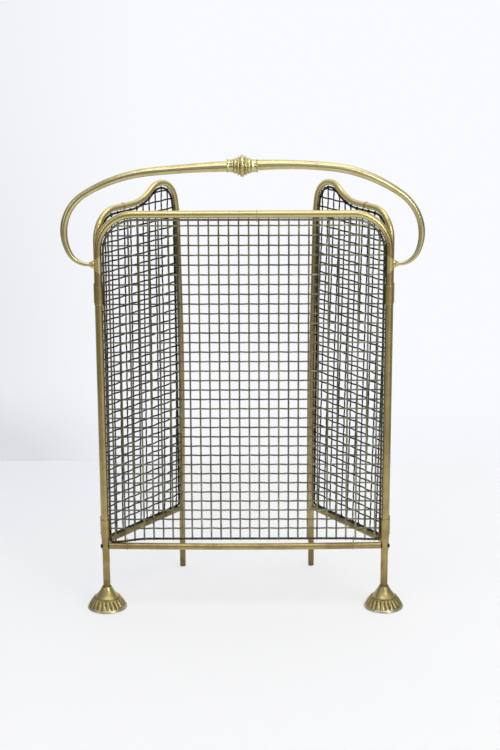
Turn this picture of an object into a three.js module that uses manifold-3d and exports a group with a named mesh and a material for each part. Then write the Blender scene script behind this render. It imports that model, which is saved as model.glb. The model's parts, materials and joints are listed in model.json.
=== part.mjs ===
// Three-fold brass fire guard: a front panel on two gadrooned feet, two wings hinged behind
// its posts, woven wire cloth in all three frames and a bow handle that swings in two lugs.
// Millimetres, +Z up, +Y to the back. The origin is on the floor, at the middle of the
// bounding box.
import * as THREE from 'three';
import { mergeVertices } from 'three/addons/utils/BufferGeometryUtils.js';
import Module from 'manifold-3d';

const wasm = await Module();
wasm.setup();

// ---- Driving sizes -------------------------------------------------------------------------

// Front panel: one bent tube, legs included
const panelWidth = 370; // between the post axes
const panelHeight = 532.5; // floor to the top rail's axis
const panelCornerRadius = 46;
const postRadius = 4.75; // 3/8 in tube
const postWall = 1.2;
const frontRailHeight = 86.6;
const frontRailRadius = 4.4;
const railNeckRadius = 3.9;
const railNeckLength = 1;

// Screws that draw the posts onto the front rail
const screwRadius = 1.5;
const screwDepth = 9; // into the rail
const screwHeadRadius = 3;
const screwHeadHeight = 2;

// Wings: one bent tube each, from the hinge upright over the swept top to the rear leg
const wingLength = 165.9; // hinge axis to rear leg axis
const wingTubeRadius = 4; // 5/16 in tube
const wingWall = 1;
const wingShoulderRise = 1.1; // axis of the level part of the top, above the front's top rail axis
const wingCornerRadius = 36;
const wingSweepRadius = 68; // hollow of the S
const wingSweepAngle = 36.8;
const wingCrestRadius = 32; // round of the peak
const wingTailRadius = 200; // slow bend from the peak into the rear leg
const wingTailAngle = 11.6;
const wingRailHeight = 88.5;
const wingRailRadius = 3.8;
const wingRailNeckRadius = 2.9;
const wingRailNeckLength = 3;
const wingSpigotRadius = 1.9; // rail end riveted into the tube
const uprightBelowRail = 8.5; // the hinge upright ends this far below the wing rail's axis
const leftWingAngle = 35.9; // turned inwards from straight back
const rightWingAngle = 34.2;

// Plugs that close the open tube ends of the wings
const plugCapHeight = 3;
const plugPegLength = 9;
const plugChamfer = 1;

// Hinge clips: sheet brass wrapped round a post and a wing upright
const sheetThickness = 1;
const clipLength = 25;
const upperClipDrop = 104; // its middle, below the front's top rail axis
const lowerClipRise = 23.5; // its middle, above the wing rail's axis
const clipWaist = 5.2;
const clipLean = 13; // the wing axis lies this many degrees outwards of straight back

// Wire cloth
const clothPitch = 12.7; // half inch
const clothWireRadius = 0.9;
const clothLayerGap = 0.06; // between the upright and the level wires
const borderRadius = 1.9; // to the corners of its four flats
const frontBorderInset = 8.2; // post axis to border axis
const frontTopInset = 7.1; // top rail axis to border axis
const wingBorderInset = 7.5;
const frontBorderLift = 10.4; // rail axis to border axis
const wingBorderLift = 7;
const borderCornerRadius = 3.5;
const firstRow = 14.6; // border axis to the first level wire of the front cloth
const clothEdgeGap = 2.4; // no wire lies closer than this along the border

// Tie wires that hold the cloth's border to the tubes
const tieRadius = 0.5;
const tieSkew = 0.3; // of a pitch, off the middle of a mesh
const topTiePlace = 12.7; // from the middle of its rail; each tie takes the mesh nearest its place
const leftTiePlace = 152.4;
const rightTiePlace = 139.7;
const wingTopTiePlace = 25.4;
const wingBottomTiePlace = 12.7;

// Handle: a bow in the plane of the front panel
const pivotDrop = 64.1; // pivot axis below the top rail's axis
const handGap = 61.2; // the top rail's axis to the bow's top axis
const bowCrownAngle = 5.6;
const bowShoulderRadius = 188;
const bowShoulderAngle = 28.2;
const bowSideAngle = 80.3;
const bowNeckRadius = 25.7;
const pegRadius = 2.25;
const pegRun = 6.5; // straight end of the arm, in the lug
const armRootRadius = 6.8; // beside the knop
const armCrownRadius = 5.6;
const armShoulderRadius = 5.3;
const armSideRadius = 4.4;
const armLowRadius = 4.25;
const armEndRadius = 3.3;
const armCrownAt = 0.19; // places along the arm, as shares of its length
const armShoulderAt = 0.38;
const armSideAt = 0.6;
const armLowAt = 0.8;
const armEndAt = 0.89;
const armNeckRun = 8; // the arm thins to the peg this far before the lug
const socketDepth = 8.3;

// Knop and leaf cups at the middle of the bow
const knopDiscRadius = 13.5;
const knopDiscWidth = 7;
const knopRingRadius = 11.2;
const knopRingWidth = 3.4;
const knopCollarRadius = 8.5;
const knopCollarWidth = 2.4;
const knopGroove = 0.9; // width of the grooves between disc, rings and collars
const knopGrooveDepth = 1.6;
const knopRounding = 1;
const tenonRadius = 4;
const tenonLength = 8;
const cupLength = 6.2;
const cupWall = 1.3;
const cupLip = 0.5;
const cupPetals = 8;
const cupPetalDepth = 0.5;

// Lugs: a clasp round the post with a boss for the handle's peg
const claspWall = 0.9;
const claspHalfHeight = 12;
const claspReach = 3.2; // past the post's axis, towards the middle of the panel
const claspWaistHeight = 8.6; // sets how hollow the clasp's edges are
const bossRadius = 5.1; // at the clasp
const bossEndRadius = 3.3;
const bossLength = 6.3; // beyond the post

// Feet
const footRadius = 26.4;
const footHeight = 30;
const footRimHeight = 1.3;
const footFlangeHeight = 3.3;
const footFlangeRadius = 25.5;
const footLobeRadius = 24.8; // foot of the gadroons
const footLobeSwell = 0.4;
const footShoulderRadius = 17.8;
const footShoulderHeight = 14.8;
const footNeckRadius = 6.3;
const footThroatRadius = 9.6; // pulls the trumpet in between the shoulder and the neck
const footThroatHeight = 17.2;
const footLobes = 22;
const footLobeDepth = 1.1;
const footStep = 0.6; // height of the small steps above and below the gadroons
const footSocketDepth = 16;

const fit = 0.3; // clearance of one piece in or against another

// Fineness of the facets
const tubeSides = 12;
const boreSides = 10;
const turnSides = 16;
const wireSides = 4;
const bendStep = 15; // degrees of bend between two rings of a tube
const wireBendStep = 20;
const tieBendStep = 45;
const tieSides = 5;

// ---- Colours -------------------------------------------------------------------------------

const brass = (color, roughness) => new THREE.MeshStandardMaterial({ color, roughness, metalness: 1 });
const frameBrass = brass('#a5873f', 0.34);
const wingBrass = brass('#8d7038', 0.4);
const handleBrass = brass('#cbb568', 0.25);
const castBrass = brass('#a08a4c', 0.38);
const clothWire = brass('#6a6450', 0.5);
const tieWire = brass('#c9b98a', 0.4);
const screwBrass = brass('#4a3c22', 0.5);

// ---- Geometry helpers ----------------------------------------------------------------------

const degrees = THREE.MathUtils.degToRad;

function toSolid(geometry) {
  const bare = geometry.clone();
  bare.deleteAttribute('normal');
  bare.deleteAttribute('uv');
  const merged = mergeVertices(bare, 1e-4);
  return new wasm.Manifold(
    new wasm.Mesh({
      numProp: 3,
      vertProperties: new Float32Array(merged.attributes.position.array),
      triVerts: new Uint32Array(merged.index.array),
    })
  );
}

function toGeometry(solid) {
  const mesh = solid.getMesh();
  const geometry = new THREE.BufferGeometry();
  geometry.setAttribute('position', new THREE.BufferAttribute(mesh.vertProperties, 3));
  geometry.setIndex(new THREE.BufferAttribute(mesh.triVerts, 1));
  geometry.computeVertexNormals();
  return geometry;
}

const join = (...geometries) => toGeometry(geometries.map(toSolid).reduce((a, b) => a.add(b)));
const cut = (geometry, ...tools) =>
  toGeometry(tools.map(toSolid).reduce((body, tool) => body.subtract(tool), toSolid(geometry)));
const common = (a, b) => toGeometry(toSolid(a).intersect(toSolid(b)));

// A flat route in the XZ plane made of straight runs and bends that meet tangentially. Its
// points lie only where the route needs them: at the ends of the runs and along the bends.
class Route extends THREE.Curve {
  constructor(start, headingDegrees, step = bendStep) {
    super();
    this.step = step;
    this.heading = degrees(headingDegrees);
    this.points = [start.clone()];
    this.headings = [this.heading];
    this.closed = false;
  }

  get end() {
    return this.points[this.points.length - 1];
  }

  run(length) {
    const ahead = new THREE.Vector2(Math.cos(this.heading), Math.sin(this.heading));
    return this.place(this.end.clone().addScaledVector(ahead, length), this.heading);
  }

  // A bend to the left is positive
  bend(radius, turnDegrees) {
    const side = Math.sign(turnDegrees);
    const start = this.heading;
    const centre = this.end.clone();
    centre.x -= radius * side * Math.sin(start);
    centre.y += radius * side * Math.cos(start);
    const count = Math.max(2, Math.ceil(Math.abs(turnDegrees) / this.step));
    for (let i = 1; i <= count; i++) {
      const heading = start + (degrees(turnDegrees) * i) / count;
      const x = centre.x + radius * side * Math.sin(heading);
      const y = centre.y - radius * side * Math.cos(heading);
      this.place(new THREE.Vector2(x, y), heading);
    }
    return this;
  }

  place(point, heading) {
    if (point.distanceTo(this.end) > 1e-6) {
      this.points.push(point);
      this.headings.push(heading);
    }
    this.heading = heading;
    return this;
  }

  // Ends the route where it began, without repeating the first point
  close() {
    if (this.end.distanceTo(this.points[0]) < 1e-3) {
      this.points.pop();
      this.headings.pop();
    }
    this.closed = true;
    return this;
  }

  get steps() {
    return this.closed ? this.points.length : this.points.length - 1;
  }

  getPointAt(t, target = new THREE.Vector3()) {
    const point = this.points[Math.round(t * this.steps) % this.points.length];
    return target.set(point.x, 0, point.y);
  }

  getTangentAt(t, target = new THREE.Vector3()) {
    const heading = this.headings[Math.round(t * this.steps) % this.points.length];
    return target.set(Math.cos(heading), 0, Math.sin(heading));
  }

  // Where the closed route crosses the line x = at (axis 0) or z = at (axis 1), in order
  crossings(axis, at) {
    const found = [];
    this.points.forEach((a, i) => {
      const b = this.points[(i + 1) % this.points.length];
      const from = a.getComponent(axis) - at;
      const to = b.getComponent(axis) - at;
      if (from < 0 !== to < 0) {
        const share = from / (from - to);
        found.push(THREE.MathUtils.lerp(a.getComponent(1 - axis), b.getComponent(1 - axis), share));
      }
    });
    return found.sort((a, b) => a - b);
  }
}

function circle(radius, sides, phase = 0) {
  const points = [];
  for (let i = 0; i < sides; i++) {
    const angle = phase + (i * 2 * Math.PI) / sides;
    points.push(new THREE.Vector2(radius * Math.cos(angle), radius * Math.sin(angle)));
  }
  return points;
}

function bentTube(route, radius, wall) {
  const section = new THREE.Shape(circle(radius, tubeSides));
  section.holes.push(new THREE.Path(circle(radius - wall, boreSides)));
  return new THREE.ExtrudeGeometry(section, { steps: route.steps, extrudePath: route });
}

// A body turned about the Z axis, from [radius, height] pairs that start and end on the axis
// or close on themselves
const turned = (profile, sides = turnSides) =>
  new THREE.LatheGeometry(profile.map(([r, z]) => new THREE.Vector2(r, z)), sides).rotateX(Math.PI / 2);

// The same, turned about the X axis
const turnedAlongX = (profile, sides = turnSides) => turned(profile, sides).rotateY(Math.PI / 2);

const rod = (radius, from, to, sides = boreSides) =>
  turned([[0, from], [radius, from], [radius, to], [0, to]], sides);
const rodAlongX = (radius, from, to, sides = boreSides) => rod(radius, from, to, sides).rotateY(Math.PI / 2);

// Rings of points, each closed, skinned in order and capped at both ends
function skin(rings) {
  const size = rings[0].length;
  const positions = [];
  const faces = [];
  rings.forEach((ring) => ring.forEach((point) => positions.push(point.x, point.y, point.z)));
  for (let r = 0; r + 1 < rings.length; r++) {
    for (let i = 0; i < size; i++) {
      const a = r * size + i;
      const b = r * size + ((i + 1) % size);
      faces.push(a, b, b + size, a, b + size, a + size);
    }
  }
  const last = (rings.length - 1) * size;
  for (let i = 1; i + 1 < size; i++) {
    faces.push(0, i + 1, i, last, last + i, last + i + 1);
  }
  const geometry = new THREE.BufferGeometry();
  geometry.setAttribute('position', new THREE.Float32BufferAttribute(positions, 3));
  geometry.setIndex(faces);
  return geometry;
}

// Turned about Z with lobes round the rim: profile rows are [radius, height, lobe depth]
function lobedTurning(profile, lobes) {
  return skin(
    profile.map(([radius, height, depth]) =>
      circle(1, lobes * 2).map((p, i) => {
        const r = i % 2 ? radius - depth : radius;
        return new THREE.Vector3(p.x * r, p.y * r, height);
      })
    )
  );
}

function piece(name, geometry, material) {
  const mesh = new THREE.Mesh(geometry, material);
  mesh.name = name;
  return mesh;
}

const sides = [
  { name: 'left', sign: -1, angle: leftWingAngle },
  { name: 'right', sign: 1, angle: rightWingAngle },
];

// ---- Front panel ---------------------------------------------------------------------------

const postX = panelWidth / 2;
const footSocketFloor = footHeight - footSocketDepth;

function frontFrame() {
  const foot = footSocketFloor + fit;
  const straight = panelHeight - panelCornerRadius - foot;
  const route = new Route(new THREE.Vector2(-postX, foot), 90)
    .run(straight)
    .bend(panelCornerRadius, -90)
    .run(panelWidth - 2 * panelCornerRadius)
    .bend(panelCornerRadius, -90)
    .run(straight);
  const drill = rodAlongX(screwRadius + fit, -postX - 2 * postRadius, postX + 2 * postRadius);
  drill.translate(0, 0, frontRailHeight);
  return cut(bentTube(route, postRadius, postWall), drill);
}

function frontRail() {
  const half = postX - postRadius - fit;
  const neck = half - railNeckLength;
  const shoulder = neck - (frontRailRadius - railNeckRadius);
  const bore = screwRadius + fit;
  const boreEnd = half - screwDepth;
  const right = [
    [frontRailRadius, shoulder],
    [railNeckRadius, neck],
    [railNeckRadius, half],
    [bore, half],
    [bore, boreEnd],
    [0, boreEnd],
  ];
  const left = right.map(([r, x]) => [r, -x]).reverse();
  return turnedAlongX([...left, ...right], tubeSides).translate(0, 0, frontRailHeight);
}

function railScrew(sign) {
  const seat = postX + postRadius + fit;
  const tip = postX - postRadius - fit - screwDepth + fit;
  const profile = [
    [0, tip],
    [screwRadius, tip],
    [screwRadius, seat],
    [screwHeadRadius, seat],
    [screwHeadRadius, seat + screwHeadHeight / 2],
    [screwHeadRadius / 2, seat + screwHeadHeight],
    [0, seat + screwHeadHeight],
  ];
  const screw = turnedAlongX(profile, boreSides);
  if (sign < 0) screw.rotateZ(Math.PI);
  return screw.translate(0, 0, frontRailHeight);
}

function frontFoot() {
  const lobeBase = footFlangeHeight + footStep;
  const lobeTop = footShoulderHeight - footStep;
  const profile = [
    [footRadius, 0, 0],
    [footRadius, footRimHeight, 0],
    [footFlangeRadius, footFlangeHeight, 0],
  ];
  // The gadroons swell a little on their way in from the flange to the shoulder
  const lobeSteps = 4;
  for (let i = 0; i < lobeSteps; i++) {
    const share = i / lobeSteps;
    const radius = THREE.MathUtils.lerp(footLobeRadius, footShoulderRadius, share);
    const swell = footLobeSwell * Math.sin(Math.PI * share);
    profile.push([radius + swell, THREE.MathUtils.lerp(lobeBase, lobeTop, share), footLobeDepth]);
  }
  profile.push([footShoulderRadius, lobeTop, footLobeDepth / 2], [footShoulderRadius, footShoulderHeight, 0]);
  const trumpet = new THREE.QuadraticBezierCurve(
    new THREE.Vector2(footShoulderRadius - footStep, footShoulderHeight + footStep),
    new THREE.Vector2(footThroatRadius, footThroatHeight),
    new THREE.Vector2(footNeckRadius, footHeight)
  );
  profile.push(...trumpet.getPoints(4).map(({ x, y }) => [x, y, 0]));
  const socket = rod(postRadius + fit, footSocketFloor, footHeight + 1, turnSides);
  return cut(lobedTurning(profile, footLobes), socket);
}

// ---- Wire cloth ----------------------------------------------------------------------------

// The border's closed route inside a panel outline, then every wire from border to border:
// upright wires on the back of the cloth, level wires on its front.
function wireCloth(border, columns, rows) {
  const parts = [new THREE.TubeGeometry(border, border.steps, borderRadius, wireSides, true)];
  const offset = clothWireRadius + clothLayerGap / 2;
  const wire = (axis, at, side) => {
    const ends = border.crossings(axis, at);
    for (let i = 0; i + 1 < ends.length; i += 2) {
      const middle = (ends[i] + ends[i + 1]) / 2;
      const bar = new THREE.CylinderGeometry(clothWireRadius, clothWireRadius, ends[i + 1] - ends[i], 4);
      if (axis === 0) bar.rotateX(Math.PI / 2).translate(at, side * offset, middle);
      else bar.rotateX(Math.PI / 2).rotateY(Math.PI / 2).translate(middle, side * offset, at);
      parts.push(bar);
    }
  };
  columns.forEach((x) => wire(0, x, 1));
  rows.forEach((z) => wire(1, z, -1));
  return join(...parts);
}

function frontBorder() {
  const halfWidth = postX - frontBorderInset;
  const bottom = frontRailHeight + frontBorderLift;
  const top = panelHeight - frontTopInset;
  const corner = panelCornerRadius - frontBorderInset;
  const sideRun = top - corner - bottom - borderCornerRadius;
  return new Route(new THREE.Vector2(-halfWidth, bottom + borderCornerRadius), 90, wireBendStep)
    .run(sideRun)
    .bend(corner, -90)
    .run(2 * (halfWidth - corner))
    .bend(corner, -90)
    .run(sideRun)
    .bend(borderCornerRadius, -90)
    .run(2 * (halfWidth - borderCornerRadius))
    .bend(borderCornerRadius, -90)
    .close();
}

// Upright wires at even pitch between two borders, with a mesh in the middle
function evenPitch(from, to) {
  const centre = (from + to) / 2;
  const reach = (to - from) / 2 - clothEdgeGap;
  const places = [];
  for (let x = clothPitch / 2; x <= reach; x += clothPitch) places.push(centre - x, centre + x);
  return places;
}

function pitchUp(from, to) {
  const places = [];
  for (let z = from; z <= to - clothEdgeGap; z += clothPitch) places.push(z);
  return places;
}

const firstRowHeight = frontRailHeight + frontBorderLift + firstRow;

function frontCloth() {
  const halfWidth = postX - frontBorderInset;
  const columns = evenPitch(-halfWidth, halfWidth);
  const rows = pitchUp(firstRowHeight, panelHeight - frontTopInset);
  return wireCloth(frontBorder(), columns, rows);
}

// ---- Tie wires -----------------------------------------------------------------------------

// A wire loop round a tube and the cloth's border, which lies at the given height above it.
// Built in the YZ plane round the X axis, on the tube's axis.
function tie(tubeRadius, borderOffset) {
  const tubeLoop = tubeRadius + fit + tieRadius;
  const borderLoop = borderRadius + fit + tieRadius;
  const distance = Math.abs(borderOffset);
  const slope = THREE.MathUtils.radToDeg(Math.asin((tubeLoop - borderLoop) / distance));
  const straight = Math.sqrt(distance ** 2 - (tubeLoop - borderLoop) ** 2);
  const start = new THREE.Vector2(tubeLoop * Math.cos(degrees(slope)), tubeLoop * Math.sin(degrees(slope)));
  const loop = new Route(start, 90 + slope, tieBendStep)
    .run(straight)
    .bend(borderLoop, 180 - 2 * slope)
    .run(straight)
    .bend(tubeLoop, 180 + 2 * slope)
    .close();
  const wire = new THREE.TubeGeometry(loop, loop.steps, tieRadius, tieSides, true).rotateZ(Math.PI / 2);
  if (borderOffset < 0) wire.rotateX(Math.PI);
  return wire;
}

// ---- Hinge clips ---------------------------------------------------------------------------

const hingeReach = postRadius + fit + 2 * sheetThickness + fit + wingTubeRadius;
const hingeX = postX + hingeReach * Math.sin(degrees(clipLean));
const hingeY = hingeReach * Math.cos(degrees(clipLean));
const upperClipHeight = panelHeight - upperClipDrop;
const lowerClipHeight = wingRailHeight + lowerClipRise;

function hingeClip(sign) {
  const postLoop = postRadius + fit + sheetThickness;
  const wingLoop = wingTubeRadius + fit + sheetThickness;
  const half = clipWaist / 2;
  const postStart = Math.acos(half / postLoop);
  const wingStart = Math.acos(half / wingLoop);
  const outline = new THREE.Shape();
  outline.absarc(0, 0, postLoop, Math.PI - postStart, 2 * Math.PI + postStart, false);
  outline.absarc(0, hingeReach, wingLoop, -wingStart, Math.PI + wingStart, false);
  outline.closePath();
  outline.holes.push(new THREE.Path(circle(postRadius + fit, boreSides)));
  const wingHole = circle(wingTubeRadius + fit, boreSides).map((p) => p.add(new THREE.Vector2(0, hingeReach)));
  outline.holes.push(new THREE.Path(wingHole));
  const wrap = { depth: clipLength, bevelEnabled: false, curveSegments: 9 };
  const clip = new THREE.ExtrudeGeometry(outline, wrap);
  return clip.translate(0, 0, -clipLength / 2).rotateZ(-sign * degrees(clipLean));
}

// ---- Handle lugs ---------------------------------------------------------------------------

const claspRadius = postRadius + fit + claspWall;
const bossEnd = postRadius + bossLength;
const pivotHeight = panelHeight - pivotDrop;

// Built on the post's axis with the boss pointing along +X
function handleLug(sign) {
  const shell = cut(
    rod(claspRadius, -claspHalfHeight - 1, claspHalfHeight + 1, turnSides),
    rod(postRadius + fit, -claspHalfHeight - 2, claspHalfHeight + 2, turnSides)
  );
  // Seen from the front the clasp spreads from the boss in two hollow curves
  const outline = new THREE.Shape();
  outline.moveTo(-claspReach, -claspHalfHeight);
  outline.quadraticCurveTo(postRadius / 2, -claspWaistHeight, claspRadius, -bossRadius);
  outline.lineTo(claspRadius, bossRadius);
  outline.quadraticCurveTo(postRadius / 2, claspWaistHeight, -claspReach, claspHalfHeight);
  outline.closePath();
  const depth = 4 * claspRadius;
  const window = new THREE.ExtrudeGeometry(outline, { depth, bevelEnabled: false, curveSegments: 6 });
  window.translate(0, 0, -depth / 2).rotateX(Math.PI / 2);
  const clasp = common(shell, window);
  const cone = [
    [0, postRadius],
    [bossRadius, postRadius],
    [bossRadius, claspRadius],
    [bossEndRadius, bossEnd],
    [0, bossEnd],
  ];
  const boss = cut(
    turnedAlongX(cone, turnSides),
    rod(postRadius + fit, -claspHalfHeight, claspHalfHeight, turnSides)
  );
  const bore = rodAlongX(pegRadius + fit, postRadius, bossEnd + 1);
  const lug = cut(join(clasp, boss), bore);
  return sign < 0 ? lug.rotateZ(Math.PI) : lug;
}

// ---- Handle --------------------------------------------------------------------------------

const bowTop = panelHeight + handGap;
const bowRise = bowTop - pivotHeight;
const knopHalf = knopDiscWidth / 2 + knopGroove + knopRingWidth + knopGroove + knopCollarWidth;
const armStart = knopHalf + fit;
const pegTip = postX + postRadius + fit + fit;

// The bow from its top to the peg: straight through the leaf cup, then crown, shoulder, side
// and neck bends. The crown's and the side's radius are the two that meet the width of the
// panel and the rise of the bow.
function bowRoute() {
  const crown = degrees(bowCrownAngle);
  const shoulder = crown + degrees(bowShoulderAngle);
  const side = shoulder + degrees(bowSideAngle);
  const reach = (from, to) => Math.sin(to) - Math.sin(from);
  const drop = (from, to) => Math.cos(from) - Math.cos(to);
  const level = armStart + cupLength;
  const reachLeft =
    pegTip + pegRun - level - bowShoulderRadius * reach(crown, shoulder) - bowNeckRadius * reach(side, Math.PI);
  const dropLeft = bowRise - bowShoulderRadius * drop(crown, shoulder) - bowNeckRadius * drop(side, Math.PI);
  const determinant = reach(0, crown) * drop(shoulder, side) - reach(shoulder, side) * drop(0, crown);
  const crownRadius = (reachLeft * drop(shoulder, side) - dropLeft * reach(shoulder, side)) / determinant;
  const sideRadius = (dropLeft * reach(0, crown) - reachLeft * drop(0, crown)) / determinant;
  return new Route(new THREE.Vector2(0, bowTop), 0)
    .run(level)
    .bend(crownRadius, -bowCrownAngle)
    .bend(bowShoulderRadius, -bowShoulderAngle)
    .bend(sideRadius, -bowSideAngle)
    .bend(bowNeckRadius, bowCrownAngle + bowShoulderAngle + bowSideAngle - 180)
    .run(pegRun);
}

function handleArm(sign) {
  const route = bowRoute();
  // Distance along the bow of each point of the route
  const along = [0];
  route.points.forEach((point, i) => {
    if (i > 0) along.push(along[i - 1] + point.distanceTo(route.points[i - 1]));
  });
  const length = along[along.length - 1];
  // The arm is stoutest beside the knop, keeps its girth to the side and thins to the neck
  const thickness = [
    [armStart, armRootRadius],
    [armStart + cupLength, armRootRadius],
    [length * armCrownAt, armCrownRadius],
    [length * armShoulderAt, armShoulderRadius],
    [length * armSideAt, armSideRadius],
    [length * armLowAt, armLowRadius],
    [length * armEndAt, armEndRadius],
    [length - pegRun - armNeckRun, pegRadius],
    [length, pegRadius],
  ];
  const radiusAt = (distance) => {
    const next = Math.max(1, thickness.findIndex(([at]) => at >= distance - 1e-6));
    const [fromAt, from] = thickness[next - 1];
    const [toAt, to] = thickness[next];
    return THREE.MathUtils.mapLinear(distance, fromAt, toAt, from, to);
  };
  // Sections at the route's own points, and wherever the thickness changes
  const stops = [...along.filter((at) => at > armStart + cupLength + 1), ...thickness.map(([at]) => at)];
  stops.sort((a, b) => a - b);
  const sections = stops.filter((at, i) => i === 0 || at - stops[i - 1] > 0.5);
  const rings = sections.map((at) => {
    const next = Math.max(1, along.findIndex((d) => d >= at - 1e-6));
    const share = (at - along[next - 1]) / (along[next] - along[next - 1]);
    const point = route.points[next - 1].clone().lerp(route.points[next], share);
    const heading = THREE.MathUtils.lerp(route.headings[next - 1], route.headings[next], share);
    const radius = radiusAt(at);
    return circle(radius, boreSides).map(
      (p) => new THREE.Vector3(point.x - p.x * Math.sin(heading), p.y, point.y + p.x * Math.cos(heading))
    );
  });
  const socket = rodAlongX(tenonRadius + fit, 0, armStart + socketDepth).translate(0, 0, bowTop);
  const arm = cut(skin(rings.reverse()), socket);
  return sign < 0 ? arm.rotateZ(Math.PI) : arm;
}

function handleKnop() {
  const discEdge = knopDiscWidth / 2;
  const ringStart = discEdge + knopGroove;
  const ringEnd = ringStart + knopRingWidth;
  const collarStart = ringEnd + knopGroove;
  const right = [
    [knopDiscRadius, discEdge - knopRounding],
    [knopDiscRadius - knopRounding, discEdge],
    [knopRingRadius - knopGrooveDepth, discEdge + knopGroove / 2],
    [knopRingRadius, ringStart + knopRounding],
    [knopRingRadius, ringEnd - knopRounding],
    [knopCollarRadius - knopGrooveDepth, ringEnd + knopGroove / 2],
    [knopCollarRadius, collarStart],
    [knopCollarRadius, knopHalf],
    [tenonRadius, knopHalf],
    [tenonRadius, knopHalf + tenonLength],
    [0, knopHalf + tenonLength],
  ];
  const left = right.map(([r, x]) => [r, -x]).reverse();
  return turnedAlongX([...left, ...right]).translate(0, 0, bowTop);
}

function leafCup(sign) {
  const inner = armRootRadius + fit;
  const outer = inner + cupWall;
  const profile = [
    [outer + cupLip, 0, cupPetalDepth],
    [outer - cupLip, (2 * cupLength) / 3, cupPetalDepth],
    [outer, cupLength, cupPetalDepth],
  ];
  const cup = cut(lobedTurning(profile, cupPetals), rod(inner, -1, cupLength + 1, boreSides * 2));
  cup.rotateY(Math.PI / 2).translate(armStart, 0, bowTop);
  return sign < 0 ? cup.rotateZ(Math.PI) : cup;
}

// ---- Wings ---------------------------------------------------------------------------------
// A wing is built in its own XZ plane: X runs from the hinge axis to the rear leg.

const wingShoulderHeight = panelHeight + wingShoulderRise;

// The route over the top, set inwards by the given distance, from the level of the start
function wingTop(start, inset, step) {
  const crest = wingSweepAngle + 90 - wingTailAngle;
  const reach = (radius, from, to) => radius * (Math.sin(degrees(to)) - Math.sin(degrees(from)));
  const bends =
    wingCornerRadius +
    reach(wingSweepRadius, 0, wingSweepAngle) +
    wingCrestRadius * (Math.sin(degrees(wingSweepAngle)) + Math.sin(degrees(90 - wingTailAngle))) +
    wingTailRadius * (1 - Math.sin(degrees(90 - wingTailAngle)));
  const level = wingLength - bends;
  return new Route(new THREE.Vector2(inset, start), 90, step)
    .run(wingShoulderHeight - wingCornerRadius - start)
    .bend(wingCornerRadius - inset, -90)
    .run(level)
    .bend(wingSweepRadius + inset, wingSweepAngle)
    .bend(wingCrestRadius - inset, -crest)
    .bend(wingTailRadius - inset, -wingTailAngle);
}

const uprightEnd = wingRailHeight - uprightBelowRail;

function wingFrame() {
  const route = wingTop(uprightEnd, 0, bendStep);
  route.run(route.end.y - plugCapHeight - fit);
  // Each rail end passes through the inner wall of its tube
  const hole = wingSpigotRadius + fit;
  const frontHole = rodAlongX(hole, 0, 2 * wingTubeRadius).translate(0, 0, wingRailHeight);
  const rearHole = rodAlongX(hole, wingLength - 2 * wingTubeRadius, wingLength).translate(0, 0, wingRailHeight);
  return cut(bentTube(route, wingTubeRadius, wingWall), frontHole, rearHole);
}

function wingRail() {
  const from = wingTubeRadius + fit;
  const neck = from + wingRailNeckLength;
  const shoulder = neck + (wingRailRadius - wingRailNeckRadius);
  const tip = wingTubeRadius - wingWall - fit;
  const half = [
    [0, tip],
    [wingSpigotRadius, tip],
    [wingSpigotRadius, from],
    [wingRailNeckRadius, from],
    [wingRailNeckRadius, neck],
    [wingRailRadius, shoulder],
  ];
  const otherHalf = half.map(([r, x]) => [r, wingLength - x]).reverse();
  return turnedAlongX([...half, ...otherHalf], tubeSides).translate(0, 0, wingRailHeight);
}

function wingBorder() {
  const bottom = wingRailHeight + wingBorderLift;
  const route = wingTop(bottom + borderCornerRadius, wingBorderInset, wireBendStep);
  return route
    .run(route.end.y - bottom - borderCornerRadius)
    .bend(borderCornerRadius, -90)
    .run(wingLength - 2 * (wingBorderInset + borderCornerRadius))
    .bend(borderCornerRadius, -90)
    .close();
}

function wingCloth() {
  const border = wingBorder();
  const crest = Math.max(...border.points.map((point) => point.y));
  const columns = evenPitch(wingBorderInset, wingLength - wingBorderInset);
  // No level wire runs along the level part of the top, where the tie goes round the border
  const levelTop = wingShoulderHeight - wingBorderInset;
  const tieClearance = borderRadius + fit + 2 * tieRadius + fit + clothWireRadius;
  const rows = pitchUp(firstRowHeight, crest).filter((z) => Math.abs(z - levelTop) > tieClearance);
  return wireCloth(border, columns, rows);
}

// Turned plug for a tube end that points down, with its cap's top at height zero
function tubePlug() {
  const peg = wingTubeRadius - wingWall - fit;
  return turned(
    [
      [0, -plugCapHeight],
      [wingTubeRadius - plugChamfer, -plugCapHeight],
      [wingTubeRadius, -plugCapHeight + plugChamfer],
      [wingTubeRadius, 0],
      [peg, 0],
      [peg, plugPegLength],
      [0, plugPegLength],
    ],
    tubeSides
  );
}

// ---- Assembly ------------------------------------------------------------------------------

const guard = new THREE.Group();
const rearReach = hingeY + wingLength * Math.cos(degrees(Math.min(leftWingAngle, rightWingAngle))) + wingTubeRadius;
guard.position.y = (footRadius - rearReach) / 2;

guard.add(piece('front_frame', frontFrame(), frameBrass));
guard.add(piece('front_bottom_rail', frontRail(), frameBrass));
guard.add(piece('front_wire_cloth', frontCloth(), clothWire));

for (const { name, sign } of sides) {
  const screw = piece(`rail_screw_${name}`, railScrew(sign), screwBrass);
  const foot = piece(`front_foot_${name}`, frontFoot(), castBrass);
  foot.position.x = sign * postX;
  const lug = piece(`handle_lug_${name}`, handleLug(sign), handleBrass);
  lug.position.set(sign * postX, 0, pivotHeight);
  guard.add(screw, foot, lug);
  for (const [level, height] of [['upper', upperClipHeight], ['lower', lowerClipHeight]]) {
    const clip = piece(`hinge_clip_${level}_${name}`, hingeClip(sign), frameBrass);
    clip.position.set(sign * postX, 0, height);
    guard.add(clip);
  }
}

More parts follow.
